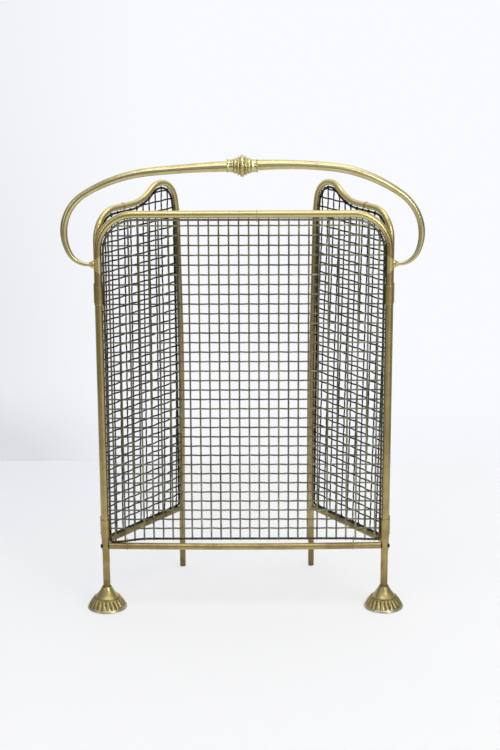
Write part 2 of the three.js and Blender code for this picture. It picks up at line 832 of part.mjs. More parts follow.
// One tie holds the front cloth to the top rail, two hold it to the bottom rail
const inMeshNear = (place) => (Math.round(place / clothPitch) + tieSkew) * clothPitch;
const topTie = piece('front_tie_top', tie(postRadius, -frontTopInset), tieWire);
topTie.position.set(inMeshNear(topTiePlace), 0, panelHeight);
const bottomTieLeft = piece('front_tie_bottom_left', tie(frontRailRadius, frontBorderLift), tieWire);
bottomTieLeft.position.set(-inMeshNear(leftTiePlace), 0, frontRailHeight);
const bottomTieRight = piece('front_tie_bottom_right', tie(frontRailRadius, frontBorderLift), tieWire);
bottomTieRight.position.set(inMeshNear(rightTiePlace), 0, frontRailHeight);
guard.add(topTie, bottomTieLeft, bottomTieRight);

guard.add(piece('handle_knop', handleKnop(), handleBrass));
for (const { name, sign } of sides) {
  guard.add(piece(`handle_arm_${name}`, handleArm(sign), handleBrass));
  guard.add(piece(`handle_leaf_cup_${name}`, leafCup(sign), handleBrass));
}

for (const { name, sign, angle } of sides) {
  const wing = new THREE.Group();
  wing.position.set(sign * hingeX, hingeY, 0);
  wing.rotation.z = degrees(90 + sign * angle);
  const legPlug = piece(`wing_leg_plug_${name}`, tubePlug(), castBrass);
  legPlug.position.set(wingLength, 0, plugCapHeight);
  const uprightPlug = piece(`wing_upright_plug_${name}`, tubePlug(), castBrass);
  uprightPlug.position.z = uprightEnd - fit;
  const tieTop = piece(`wing_tie_top_${name}`, tie(wingTubeRadius, -wingBorderInset), tieWire);
  tieTop.position.set(wingLength / 2 - inMeshNear(wingTopTiePlace), 0, wingShoulderHeight);
  const tieBottom = piece(`wing_tie_bottom_${name}`, tie(wingRailRadius, wingBorderLift), tieWire);
  tieBottom.position.set(wingLength / 2 + inMeshNear(wingBottomTiePlace), 0, wingRailHeight);
  wing.add(
    piece(`wing_frame_${name}`, wingFrame(), wingBrass),
    piece(`wing_bottom_rail_${name}`, wingRail(), wingBrass),
    piece(`wing_wire_cloth_${name}`, wingCloth(), clothWire),
    legPlug,
    uprightPlug,
    tieTop,
    tieBottom
  );
  guard.add(wing);
}

export default guard;
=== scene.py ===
"""Models the finish of a three-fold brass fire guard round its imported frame: bent brass tubes,
woven wire cloth, gadrooned feet, sleeve hinges and a cast bow handle with a turned knop."""

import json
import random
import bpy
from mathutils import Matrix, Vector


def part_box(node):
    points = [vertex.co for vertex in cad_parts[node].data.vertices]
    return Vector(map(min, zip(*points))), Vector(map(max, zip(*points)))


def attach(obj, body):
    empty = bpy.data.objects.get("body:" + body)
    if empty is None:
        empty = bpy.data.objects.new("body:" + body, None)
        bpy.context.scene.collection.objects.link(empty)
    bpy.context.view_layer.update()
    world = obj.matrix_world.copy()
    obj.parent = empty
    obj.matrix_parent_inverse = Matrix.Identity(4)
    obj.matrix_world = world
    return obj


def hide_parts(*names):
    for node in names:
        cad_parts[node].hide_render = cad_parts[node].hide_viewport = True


bl_info = {
    "name": "Folding fire guard",
    "version": (1, 0, 0),
    "blender": (4, 5, 0),
    "location": "3D View > Sidebar > Fire Guard",
    "description": "Models a three-fold brass fire guard with woven wire cloth and a bow handle",
    "category": "Add Mesh",
}

from functools import partialmethod
from math import asin, atan, atan2, ceil, copysign, cos, degrees, dist, hypot, pi, radians, sin

import bmesh
import bpy
from bpy.props import FloatProperty, FloatVectorProperty, IntProperty, PointerProperty
from bpy.types import Operator, Panel, PropertyGroup
from mathutils import Matrix, Vector

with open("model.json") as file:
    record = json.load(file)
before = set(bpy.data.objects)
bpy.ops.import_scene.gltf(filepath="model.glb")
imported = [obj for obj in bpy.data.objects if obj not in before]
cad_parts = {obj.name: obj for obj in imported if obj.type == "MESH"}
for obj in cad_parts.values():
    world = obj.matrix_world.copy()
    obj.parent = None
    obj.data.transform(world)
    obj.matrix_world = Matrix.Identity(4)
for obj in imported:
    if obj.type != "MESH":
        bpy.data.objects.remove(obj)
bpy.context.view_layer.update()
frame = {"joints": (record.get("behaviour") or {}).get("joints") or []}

MM = 0.001
MERGE = 1e-6  # How near two vertices are that count as one
SLACK = 0.05 * MM  # How far a vertex may lie off the ring that it belongs to
SIDES = ("left", "right")
SIGN = {"left": -1, "right": 1}
moved = Matrix.Translation


def spun(angle, axis):
    return Matrix.Rotation(angle, 4, axis)


# ---- Places and sizes that come from the frame


def least(node):
    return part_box(node)[0]


def most(node):
    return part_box(node)[1]


def middle(node):
    return (least(node) + most(node)) / 2


def height_of(node):
    return most(node).z - least(node).z


def joint_place(name):
    return Vector(next(j["pos_m"] for j in frame["joints"] if j["name"] == name))


POST_X, FRONT_Y, _ = middle("front_foot_right")
POST_RADIUS = most("front_frame").x - POST_X
TOP_Z = most("front_frame").z - POST_RADIUS
POST_FOOT_Z = least("front_frame").z
RAIL_Z = middle("front_bottom_rail").z
RAIL_RADIUS = height_of("front_bottom_rail") / 2
RAIL_HALF = most("front_bottom_rail").x
FOOT_RADIUS = (most("front_foot_right").x - least("front_foot_right").x) / 2
FOOT_HEIGHT = most("front_foot_right").z
PIVOT = joint_place("handle_swing")
BOW_Z = middle("handle_knop").z
LUG_HALF = height_of("handle_lug_right") / 2
LUG_END = most("handle_lug_right").x
ARM_START = least("handle_arm_right").x
CUP_LENGTH = most("handle_leaf_cup_right").x - ARM_START
CLIP_HALF = height_of("hinge_clip_upper_right") / 2
CLIP_Z = {level: middle(f"hinge_clip_{level}_right").z for level in ("upper", "lower")}
HINGE = {side: joint_place(f"{side}_wing_hinge") for side in SIDES}
WING_RADIUS = middle("wing_upright_plug_right").x - least("wing_upright_plug_right").x
WING_RAIL_Z = middle("wing_bottom_rail_right").z
WING_RAIL_RADIUS = most("wing_bottom_rail_right").z - WING_RAIL_Z
WING_LENGTH = (middle("wing_leg_plug_right") - HINGE["right"]).to_2d().length
WING_CREST_Z = most("wing_frame_right").z
PLUG_HEIGHT = 3 * MM
PLUG_SEAT = 0.05 * MM
UPRIGHT_END_Z = most("wing_upright_plug_right").z - most("wing_leg_plug_right").z + PLUG_HEIGHT

FRONT = moved((0, FRONT_Y, 0))
WING = {}
for side in SIDES:
    reach = middle(f"wing_leg_plug_{side}") - HINGE[side]
    WING[side] = moved((HINGE[side].x, HINGE[side].y, 0)) @ spun(atan2(reach.y, reach.x), "Z")


# ---- Sizes and colours that a user may change


def number(name, description, default, **more):
    return FloatProperty(name=name, description=description, default=default, **more)


def size(name, description, millimetres):
    return number(name, description, millimetres * MM, min=0, unit="LENGTH")


def angle(name, description, turn):
    return number(name, description, radians(turn), subtype="ANGLE")


def count(name, description, default, lowest):
    return IntProperty(name=name, description=description, default=default, min=lowest)


def colour(name, description, code):
    """A colour given in hexadecimal and kept linear."""
    parts = [int(code[i : i + 2], 16) / 255 for i in (1, 3, 5)]
    linear = [c / 12.92 if c <= 0.04045 else ((c + 0.055) / 1.055) ** 2.4 for c in parts]
    return FloatVectorProperty(
        name=name, description=description, default=linear, subtype="COLOR", size=3, min=0, max=1
    )


class GuardTubes(PropertyGroup):
    corner_radius: size("Front corner", "Bend radius of the front tube's top corners", 46)
    wing_corner_radius: size("Wing corner", "Bend radius of a wing tube over its hinge upright", 36)
    sweep_radius: size("Sweep", "Radius of the hollow in a wing's top", 68)
    crest_radius: size("Crest", "Radius of the peak of a wing's top", 32)
    tail_radius: size("Tail", "Radius of the slow bend into the rear leg", 200)
    sweep_angle: angle("Sweep angle", "Turn of the hollow", 36.8)
    tail_angle: angle("Tail angle", "Turn of the slow bend", 11.6)
    front_colour: colour("Front brass", "Bright metal of the front tube and rail", "#b8a470")
    wing_colour: colour("Wing brass", "Bright metal of the wing tubes", "#bcac7b")
    # Pale tops: partly rubbed metal, partly a painted highlight of the overhead lamp
    rubbed_and_highlit_colour: colour("Rubbed brass", "Pale metal of the tops that hands rub", "#d9ca90")
    bow: size("Bow", "How far a wing's rear leg bends inwards at half height", 2.9)
    rail_sag: size("Rail sag", "How far the front rail hangs in its middle", 1.6)
    tarnish_colour: colour("Tarnish", "Brown film that lies over the brass", "#5c4a2a")


class GuardCloth(PropertyGroup):
    pitch: size("Mesh", "Distance from one wire to the next", 12.7)
    wire_radius: size("Wire", "Radius of a woven wire", 1.1)
    upright_radius: size("Upright", "Radius of the front cloth's upright wires", 1.28)
    crimp: size("Crimp", "How far a wire leaves the cloth's middle at a crossing", 0.55)
    wing_crimp: size("Wing crimp", "The same for the wings' nearly straight upright wires", 0.22)
    border_radius: size("Border wire", "Radius of the wire round the cloth's edge", 1.5)
    sag: size("Sag", "Drop of the front cloth's border beside the left post", 4.3)
    right_sag: size("Right sag", "Drop of the same border beside the right post", 1.2)
    sag_length: size("Sag length", "Length over which the border drops", 48)
    wrap_radius: size("Wrapped end", "Radius of a wire's end where it goes round the border", 0.5)
    front_inset: size("Front inset", "Post axis to the border wire", 6.7)
    first_inset: size("First inset", "Border wire to the place of a column of wires", 0.7)
    front_top_inset: size("Front top inset", "Top rail axis to the border wire", 7.1)
    wing_inset: size("Wing inset", "Wing tube axis to the border wire", 7)
    front_lift: size("Front lift", "Bottom rail axis to the border wire", 10.4)
    wing_lift: size("Wing lift", "Wing rail axis to the border wire", 5.8)
    first_row: size("First row", "Front border to the lowest level wire", 14.6)
    corner_radius: size("Bottom corner", "Bend radius of the border's bottom corners", 3.5)
    light_colour: colour("Light wire", "Wires that have kept some brass", "#a9a88c")
    dark_colour: colour("Dark wire", "Wires that have gone grey", "#5c5f50")
    black_colour: colour("Black wire", "Wires that have gone nearly black", "#25262a")
    bronze_colour: colour("Bronze wire", "Wires with a brown tarnish", "#83735c")


class GuardHandle(PropertyGroup):
    root_radius: size("Root", "Radius of an arm beside the knop", 6.8)
    low_radius: size("Low end", "Radius of an arm above its last bend", 4.25)
    lean: size("Lean", "How far one arm stands above and the other below true", 2.6)
    lift: size("Lift", "How far both arms stand above the true bow", 0.4)
    spread: size("Spread", "How far the left side bulges past the right one", 0.8)
    plump: size("Plump", "How much thicker each arm is where it has kept metal", 0.5)
    shift: size("Shift", "How far the knop stands to the left of the middle", 1.3)
    peg_radius: size("Peg", "Radius of the arm's end in its lug", 2.25)
    reeds: count("Reeds", "Lengthwise reeds round an arm", 10, 3)
    reed_depth: number("Reed depth", "Depth of the grooves, as a share of the radius", 0.07, min=0)
    gadroons: count("Gadroons", "Slanted lobes round the knop", 14, 4)
    petals: count("Petals", "Petals of a leaf cup", 8, 4)
    handle_colour: colour("Handle brass", "Pale metal of the handle", "#d6cc9a")


class GuardFeet(PropertyGroup):
    lobes: count("Lobes", "Gadroons round a foot", 22, 6)
    lobe_depth: size("Lobe depth", "Depth of the valleys between the gadroons", 1.7)
    lean: number("Lean", "How far a gadroon leans round the foot, in gadroons", -0.3)
    crest_colour: colour("Crests", "Rubbed metal on the high spots", "#c3b27a")
    valley_colour: colour("Valleys", "Old polish and dirt between the lobes", "#54462a")


class GuardFittings(PropertyGroup):
    sheet: size("Sheet", "Thickness of a hinge clip's brass", 0.75)
    bead: size("Bead", "How far the rolled edges of a clip stand out", 0.3)
    waist: size("Waist", "Width of a clip between its two sleeves", 5.2)
    tie_radius: size("Tie wire", "Radius of the wire that ties the cloth to a tube", 0.42)
    screw_colour: colour("Screw", "Dark metal of the rail screws", "#3b3120")
    lug_colour: colour("Lug brass", "Pale metal of the handle's lugs", "#dccf92")
    tie_colour: colour("Tie", "Pale metal of the tie wires", "#c9b98a")


class GuardStudio(PropertyGroup):
    floor_colour: colour("Floor", "Floor of the studio", "#f8f8f8")
    wall_colour: colour("Wall", "Paper backdrop behind the guard", "#f9fafe")
    # Painted shade on the backdrop's left side and foot and on the floor's far left
    shade_colour: colour("Shaded wall", "The backdrop's darker left side", "#dcdee4")
    # Levels of painted reflection that the floor and the backdrop show to the metal
    room_shade: number("Room shade", "How bright the metal sees the room", 0.3, min=0)
    key_reflection_strip: number("Key strip", "How bright it sees the floor by the key lamp", 0.5, min=0)
    key_angle: angle("Key angle", "Direction of the key lamp, to the right of straight ahead", 35)
    lamp_power: number("Lamps", "Power of all the lamps", 1.0, min=0)
    lens: number("Lens", "Focal length in millimetres", 83.7, min=10)


GROUPS = {
    "guard_tubes": GuardTubes,
    "guard_cloth": GuardCloth,
    "guard_handle": GuardHandle,
    "guard_feet": GuardFeet,
    "guard_fittings": GuardFittings,
    "guard_studio": GuardStudio,
}


# ---- Modelling by operators


def deselect():
    """Leaves edit mode and selects nothing."""
    if bpy.context.object and bpy.context.object.mode != "OBJECT":
        bpy.ops.object.mode_set(mode="OBJECT")
    bpy.ops.object.select_all(action="DESELECT")


def primitive(kind, **settings):
    """Adds a primitive, with nothing else selected."""
    deselect()
    getattr(bpy.ops.mesh, f"primitive_{kind}_add")(**settings)
    return bpy.context.object


def take(piece, *others):
    """Selects a piece, and others with it, and makes it the active one."""
    deselect()
    for each in (*others, piece):
        each.select_set(True)
    bpy.context.view_layer.objects.active = piece


def edit(piece):
    take(piece)
    bpy.ops.object.mode_set(mode="EDIT")
    bpy.ops.mesh.select_all(action="SELECT")


def pick(test):
    """In edit mode, selects the vertices that pass a test, and what lies between them."""
    shape = bmesh.from_edit_mesh(bpy.context.object.data)
    for part in (*shape.faces, *shape.edges):
        part.select = False
    for vertex in shape.verts:
        vertex.select = bool(test(vertex))
    shape.select_flush_mode()
    bmesh.update_edit_mesh(bpy.context.object.data, loop_triangles=False, destructive=False)


def push(way):
    """Extrudes what is selected."""
    bpy.ops.mesh.extrude_region_move(TRANSFORM_OT_translate={"value": way})


def slide(way):
    bpy.ops.transform.translate(value=way)


def scale(factors, centre=(0, 0, 0)):
    bpy.ops.transform.resize(value=factors, center_override=centre)


def twist(turn, axis):
    bpy.ops.transform.rotate(value=turn, orient_axis=axis, center_override=(0, 0, 0))


def freeze():
    """Keeps the selected objects' places in their meshes."""
    bpy.ops.object.transform_apply(location=True, rotation=True, scale=True)


def face_out(piece):
    """Turns all faces outwards."""
    edit(piece)
    bpy.ops.mesh.normals_make_consistent(inside=False)
    deselect()
    return piece


def smooth(piece, limit=35):
    take(piece)
    bpy.ops.object.shade_smooth_by_angle(angle=radians(limit))
    return piece


def finished_shape(piece):
    """In edit mode, merges doubled vertices, turns all faces outwards and smooths them."""
    bpy.ops.mesh.select_all(action="SELECT")
    bpy.ops.mesh.remove_doubles(threshold=MERGE)
    return smooth(face_out(piece))


def modify(piece, kind, **settings):
    """Adds a modifier, sets it and applies it."""
    take(piece)
    bpy.ops.object.modifier_add(type=kind)
    modifier = piece.modifiers[-1]
    for name, value in settings.items():
        setattr(modifier, name, value)
    bpy.ops.object.modifier_apply(modifier=modifier.name)
    return piece


def subdivide(piece, levels):
    return modify(piece, "SUBSURF", levels=levels, render_levels=levels)


def carve(piece, tool, operation="DIFFERENCE"):
    """Adds, cuts or keeps what a tool covers, and throws the tool away."""
    modify(piece, "BOOLEAN", operation=operation, object=tool, solver="EXACT")
    bpy.data.objects.remove(tool)
    return piece


def settle(piece, place):
    """Moves a piece to its place, and keeps the place in its mesh."""
    piece.matrix_world = place @ piece.matrix_world
    take(piece)
    freeze()
    return piece


def copied(piece, name):
    take(piece)
    bpy.ops.object.duplicate()
    bpy.context.object.name = name
    return bpy.context.object


def flipped(piece):
    """Takes a piece to the other side of the guard."""
    return face_out(settle(piece, Matrix.Scale(-1, 4, (1, 0, 0))))


def joined(name, pieces):
    take(*pieces)
    bpy.ops.object.join()
    pieces[0].name = name
    return pieces[0]


def drawn(name, points):
    """A line from one vertex, pushed from point to point and left in edit mode."""
    piece = primitive("circle", vertices=3, radius=MM, enter_editmode=True)
    piece.name = name
    bpy.ops.mesh.merge(type="CENTER")
    slide(points[0])
    for here, there in zip(points, points[1:]):
        push(there - here)
    bpy.ops.mesh.select_all(action="SELECT")
    return piece


def turned(name, profile, steps, along="Z"):
    """A body turned on the lathe from (radius, height) pairs, round the Z or the X axis."""
    upright = along == "Z"
    piece = drawn(name, [Vector((r, 0, h) if upright else (h, 0, r)) for r, h in profile])
    axis = (0, 0, 1) if upright else (1, 0, 0)
    bpy.ops.mesh.spin(steps=steps, angle=2 * pi, center=(0, 0, 0), axis=axis, use_auto_merge=True)
    return finished_shape(piece)


def metres(profile):
    """A profile that is given in millimetres."""
    return [(a * MM, b * MM) for a, b in profile]


def centred(profile):
    """A profile with its mirrored half before it, for a piece alike at both ends."""
    return [(radius, -length) for radius, length in reversed(profile)] + list(profile)


def curve(start, by, end, steps):
    """Points along a slow curve from start to end, drawn towards a third place."""
    for i in range(steps + 1):
        t = i / steps
        yield tuple(
            (1 - t) ** 2 * a + 2 * t * (1 - t) * b + t * t * c for a, b, c in zip(start, by, end)
        )


def part(y, x, step, columns):
    """Which column of its lobe a vertex is in, by its two measures across the axis."""
    return round(atan2(y, x) / step) % columns


class Tube:
    """A round bar made by pushing a ring along runs and round bends, in the XZ plane. Its
    centre line is kept, so that wires can be cut where they meet it."""

    def __init__(self, name, radius, sides, start, heading):
        self.at, self.heading = Vector((start[0], 0, start[1])), radians(heading)
        self.line, self.headings, self.radius = [start], [self.heading], radius
        tilt = (0, pi / 2 - self.heading, 0)
        self.piece = primitive(
            "circle", vertices=sides, radius=radius, location=self.at, rotation=tilt
        )
        self.piece.name = name
        freeze()
        edit(self.piece)

    def mark(self):
        self.line.append((self.at.x, self.at.z))
        self.headings.append(self.heading)

    def run(self, length, steps=1):
        step = Vector((cos(self.heading), 0, sin(self.heading))) * (length / steps)
        for _ in range(steps):
            push(step)
            self.at += step
            self.mark()
        return self

    def bend(self, radius, turn, steps):
        """A bend to the left is positive."""
        start, out, turn = self.heading, radius * copysign(1, turn), radians(turn)
        centre = self.at + out * Vector((-sin(start), 0, cos(start)))
        bpy.ops.mesh.spin(
            steps=steps, angle=turn, center=centre, axis=(0, 1, 0), use_auto_merge=False
        )
        for i in range(1, steps + 1):
            self.heading = start + turn * i / steps
            self.at = centre + out * Vector((sin(self.heading), 0, -cos(self.heading)))
            self.mark()
        return self

    def around(self, index, vertex):
        """The angle of a vertex round the centre line, or None off the ring at that corner."""
        x, z = self.line[index]
        out = vertex.co - Vector((x, 0, z))
        forward = Vector((cos(self.headings[index]), 0, sin(self.headings[index])))
        if abs(out.dot(forward)) > 0.02 * MM or out.length > 1.5 * self.radius:
            return None
        return atan2(out.y, out.dot(Vector((-forward.z, 0, forward.x))))

    def pick_ring(self, index):
        pick(lambda v: self.around(index, v) is not None)

    def arch(self, side, corner, across, steps):
        """Up one side, over the top and round to the other."""
        self.run(side).bend(corner, -90, steps)
        return self.run(across).bend(corner, -90, steps)

    def cap(self):
        """Closes both ends."""
        for end in (0, len(self.line) - 1):
            self.pick_ring(end)
            bpy.ops.mesh.edge_face_add()
        return self

    def done(self):
        return finished_shape(self.piece)

    def spans(self, axis, at, slant, level):
        """Where the closed line crosses x = at (axis 0) or z = at (axis 1), in pairs. A slanted
        crossing line moves by the slant for each metre past the level."""
        found = []
        for a, b in zip(self.line, self.line[1:] + self.line[:1]):
            before, after = (p[axis] - at - slant * (p[1 - axis] - level) for p in (a, b))
            if (before < 0) != (after < 0):
                share = before / (before - after)
                found.append(a[1 - axis] + (b[1 - axis] - a[1 - axis]) * share)
        found.sort()
        return list(zip(found[::2], found[1::2]))

    def heading_at(self, x, z):
        """The heading of the span that holds a point, before or after the nearest corner."""
        nearest = min(range(len(self.line)), key=lambda i: dist(self.line[i], (x, z)))
        here = self.line[nearest]
        after, before = self.line[(nearest + 1) % len(self.line)], self.line[nearest - 1]
        ahead = Vector((after[0] - here[0], after[1] - here[1]))
        behind = Vector((here[0] - before[0], here[1] - before[1]))
        way = ahead if Vector((x - here[0], z - here[1])).dot(ahead) >= 0 else behind
        return atan2(way.y, way.x)


def wing_top(tube, start, inset, steps):
    """Takes a wing's tube, or the border inside it, over the top and down to the tail's end."""
    sizes = bpy.context.scene.guard_tubes
    corner, hollow = sizes.wing_corner_radius, sizes.sweep_radius
    crest, slow = sizes.crest_radius, sizes.tail_radius
    sweep, tail = degrees(sizes.sweep_angle), degrees(sizes.tail_angle)
    lean, side = sin(sizes.sweep_angle), sin(radians(90) - sizes.tail_angle)
    bends = corner + hollow * lean + crest * (lean + side) + slow * (1 - side)
    # The level's height above the floor is the crest's, less the rise of the sweep and the peak
    rise = (hollow + crest) * (1 - cos(sizes.sweep_angle))
    tube.run(WING_CREST_Z - WING_RADIUS - rise - corner - start)
    tube.bend(corner - inset, -90, steps).run(WING_LENGTH - bends)
    tube.bend(hollow + inset, sweep, steps).bend(crest - inset, -(sweep + 90 - tail), steps)
    tube.bend(slow - inset, -tail, steps // 2)


# How far a wing's leg bends inwards at the floor and at each fifth of the height, as shares
BOW_SHARES = {"left": (0.17, 0.45, 1, 0.86, 0, 0), "right": (0.9, 1, 1, 0.69, -0.28, 0)}
# The same from the hinge to the leg
BOW_ALONG = (0, 0.08, 0.42, 1)


def bowed(side, *pieces):
    """Bends a wing's pieces in a cage: its rear leg stands a little inwards of the true line."""
    tall, wide = 600 * MM, 100 * MM
    deselect()
    bpy.ops.object.add(type="LATTICE")
    cage = bpy.context.object
    cage.data.points_u, cage.data.points_v, cage.data.points_w = 4, 2, 6
    cage.data.interpolation_type_u = cage.data.interpolation_type_w = "KEY_CARDINAL"
    centre = moved((WING_LENGTH / 2, 0, tall / 2))
    cage.matrix_world = WING[side] @ centre @ Matrix.Diagonal((WING_LENGTH, wide, tall, 1))
    bow = bpy.context.scene.guard_tubes.bow / wide
    for index, point in enumerate(cage.data.points):
        share = BOW_ALONG[index % 4] * BOW_SHARES[side][index // 8]
        point.co_deform.y += SIGN[side] * bow * share
    for piece in pieces:
        modify(piece, "LATTICE", object=cage)
    bpy.data.objects.remove(cage)


# ---- Materials


class Wire:
    """A shader socket that takes part in Python sums."""

    def __init__(self, finish, socket):
        self.finish, self.socket = finish, socket

    def _with(self, operation, *others):
        return self.finish.add("Math", [self, *others], operation=operation)

    def __rsub__(self, other):
        return self.finish.add("Math", [other, self], operation="SUBTRACT")

    __add__ = __radd__ = partialmethod(_with, "ADD")
    __mul__ = __rmul__ = partialmethod(_with, "MULTIPLY")
    __sub__ = partialmethod(_with, "SUBTRACT")
    __truediv__ = partialmethod(_with, "DIVIDE")
    __pow__ = partialmethod(_with, "POWER")
    cosine = partialmethod(_with, "COSINE")
    magnitude = partialmethod(_with, "ABSOLUTE")

    def clamped(self, low=0.0, high=1.0):
        return self._with("MAXIMUM", low)._with("MINIMUM", high)

    def between(self, low, high):
        """0 below low, 1 above high, and smooth from one to the other."""
        sockets = {"Value": self, "From Min": low, "From Max": high}
        return self.finish.add("MapRange", sockets, interpolation_type="SMOOTHSTEP")

    def band(self, low, full, end, high):
        """0 outside low and high, and 1 from full to end."""
        return self.between(low, full) * (1 - self.between(end, high))


class Finish:
    """A material, or the world, built node by node."""

    def __init__(self, owner):
        owner.use_nodes = True
        self.owner, self.tree = owner, owner.node_tree
        self.tree.nodes.clear()

    def add(self, kind, inputs=None, output=0, **settings):
        """A node with its settings, then the values or links of its sockets, by their number
        or their identifier. Returns an output."""
        node = self.tree.nodes.new(f"ShaderNode{kind}")
        for name, value in settings.items():
            setattr(node, name, value)
        named = {socket.identifier: socket for socket in node.inputs}
        pairs = inputs.items() if isinstance(inputs, dict) else enumerate(inputs or [])
        for key, value in pairs:
            socket = node.inputs[key] if isinstance(key, int) else named[key]
            if isinstance(value, Wire):
                self.tree.links.new(value.socket, socket)
            elif hasattr(socket.default_value, "__len__") and len(socket.default_value) == 4:
                socket.default_value = (*tuple(value)[:3], 1)
            else:
                socket.default_value = value
        return Wire(self, node.outputs[output]) if node.outputs else None

    def several(self, kind, inputs, *names):
        """Some outputs of one node."""
        outputs = self.add(kind, inputs).socket.node.outputs
        return [Wire(self, outputs[name]) for name in names]

    def place(self):
        return self.add("TexCoord", output="Object")

    def axes(self, vector, names="XYZ"):
        return self.several("SeparateXYZ", [vector], *names)

    def moved(self, vector, **settings):
        sockets = {name.title(): value for name, value in settings.items()}
        return self.add("Mapping", {"Vector": vector, **sockets})

    def noise(self, vector, scale, detail, roughness=0.55, distortion=0.0):
        sockets = {"Vector": vector, "Scale": scale, "Detail": detail}
        return self.add("TexNoise", {**sockets, "Roughness": roughness, "Distortion": distortion})

    def blend(self, share, first, second, how="MIX"):
        sockets = {"Factor_Float": share, "A_Color": first, "B_Color": second}
        return self.add("Mix", sockets, 2, data_type="RGBA", blend_type=how)

    def shader(self, kind, tint, **more):
        return self.add(kind, {"Color": tint, **more})

    def metal(self, base, roughness, height, strength, distance=0.2 * MM):
        """Bare metal with a relief, on the owner."""
        normal = self.add("Bump", {"Height": height, "Strength": strength, "Distance": distance})
        sockets = {"Base Color": base, "Metallic": 1.0, "Roughness": roughness, "Normal": normal}
        self.add("OutputMaterial", {"Surface": self.add("BsdfPrincipled", sockets)})
        return self.owner


def new_finish(name):
    return Finish(bpy.data.materials.new(name))


def aged_brass(name, bright, film, roughness, marks=1.0, grain=(1, 1, 1), tops=None, dirt=None):
    """Brass that was polished long ago: clouds of brown film, dark pits and fine rubbing marks.
    Between two heights, given as tops, it goes over to a paler metal: metal that hands have rubbed,
    and partly a painted highlight of the overhead lamp."""
    tubes = bpy.context.scene.guard_tubes
    tarnish = dirt or tubes.tarnish_colour
    f = new_finish(name)
    place = f.place()
    if tops:
        (height,) = f.axes(place, "Z")
        # The tops go over to the pale metal: real rubbing, and partly a painted highlight of the
        # overhead lamp
        handled_and_highlit = height.between(*tops)
        bright = f.blend(handled_and_highlit, bright, tubes.rubbed_and_highlit_colour)
        # Near the floor the film thickens and the metal goes over to the tarnish: painted shade by
        # the floor
        film = film * (1 - 0.85 * handled_and_highlit) + 0.4 * (1 - height.between(0.0, 0.14))
        bright = f.blend((1 - height.between(-0.02, 0.08)) * 0.9, bright, tarnish)
    clouds = f.noise(place, 14, 4).between(0.36, 0.68)
    aside = f.moved(place, location=(0.3, 0.1, 0.2))
    patches = f.noise(aside, 60, 5, 0.6, 0.6).between(0.42, 0.7)
    specks = f.noise(place, 900, 2).between(0.62, 0.74) * marks
    rubbed = f.noise(f.moved(place, scale=grain), 500, 3)
    cover = (clouds * 0.6 + patches * 0.5) * film
    worn = f.blend(cover.clamped(), bright, tarnish)
    copper = (0.95, 0.8, 0.55)
    warm = f.blend(1.0, bright, copper, "MULTIPLY")
    tinted = f.blend(patches * 0.35, worn, warm)
    pitted = f.blend(specks * 0.5, tinted, tuple(0.35 * c for c in tarnish))
    rough = (roughness + cover * 0.3 + rubbed * 0.1 * marks + specks * 0.2).clamped(0.05, 0.9)
    return f.metal(pitted, rough, rubbed * 0.6 + specks * -0.8 + patches * 0.4, 0.07 * marks)


# ---- Fitting a piece into the guard


def fit(piece, finish, slot, body, *nodes):
    """Gives a piece its material and its body, and hides the nodes it stands for. The slot is not
    used.
    """
    piece.data.materials.clear()
    piece.data.materials.append(finish)
    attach(piece, body)
    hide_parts(*nodes)


def fit_pair(right, left, finish, slot, body, node, limit=35):
    """Fits two pieces alike, one on each side."""
    for piece, side in ((right, "right"), (left, "left")):
        fit(smooth(piece, limit), finish, slot, body, f"{node}_{side}")


def fit_mirrored(right, left_name, *place):
    """Fits a piece and its mirrored copy."""
    fit_pair(right, flipped(copied(right, left_name)), *place)


class GuardOperator:
    bl_options = {"REGISTER"}

    def finished(self):
        deselect()
        return {"FINISHED"}


# ---- Tubes, rails, plugs and screws


def screw(shank=1.5 * MM):
    """A round head with a slot, on its shank."""
    low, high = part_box("rail_screw_right")
    seat = POST_X + POST_RADIUS + 0.3 * MM
    radius, height = (high.z - low.z) / 2, high.x - seat
    profile = [(0, low.x), (shank, low.x), (shank, seat), (radius, seat)]
    for i in range(7):
        rise = radians(15 * i)
        profile.append((radius * cos(rise), seat + height * (0.25 + 0.75 * sin(rise))))
    head = turned("rail_screw_head_right", profile, 24, "X")
    slot = primitive("cube", size=1, scale=(1.6 * MM, 8 * MM, 0.8 * MM))
    settle(slot, moved((high.x, 0, 0)) @ spun(0.5, "X"))
    edit(slot)
    bpy.ops.mesh.bevel(offset=0.1 * MM, segments=1)
    return settle(carve(head, slot), moved((0, FRONT_Y, RAIL_Z)))


class GUARD_OT_front_frame(GuardOperator, Operator):
    """Bend the front tube, turn the bottom rail and set its two screws"""

    bl_idname = "guard.front_frame"
    bl_label = "Front frame"

    def execute(self, context):
        sizes = context.scene.guard_tubes
        tops = (TOP_Z - 45 * MM, TOP_Z - 8 * MM)
        brass = aged_brass("front_brass", sizes.front_colour, 0.45, 0.26, tops=tops)
        corner = sizes.corner_radius
        straight = TOP_Z - corner - POST_FOOT_Z
        tube = Tube("front_tube", POST_RADIUS, 40, (-POST_X, POST_FOOT_Z), 90)
        tube.arch(straight, corner, 2 * (POST_X - corner), 18).run(straight).cap()
        fit(settle(tube.done(), FRONT), brass, "frame_brass", "front_panel", "front_frame")

        # The rail hangs a little in its middle, in one slow bend
        turn = 2 * atan2(2 * sizes.rail_sag, RAIL_HALF)
        start = (-RAIL_HALF, RAIL_Z + 0.4 * sizes.rail_sag)
        rail = Tube("front_rail", RAIL_RADIUS, 40, start, -degrees(turn / 2))
        rail.bend(RAIL_HALF / sin(turn / 2), degrees(turn), 12).cap()
        fit(settle(rail.done(), FRONT), brass, "frame_brass", "front_panel", "front_bottom_rail")

        tint, soot = context.scene.guard_fittings.screw_colour, (0.01, 0.008, 0.005)
        dark = aged_brass("screw_brass", tint, 0.5, 0.45, dirt=soot)
        names = ("screw_brass", "front_panel", "rail_screw")
        fit_mirrored(screw(), "rail_screw_head_left", dark, *names)
        return self.finished()


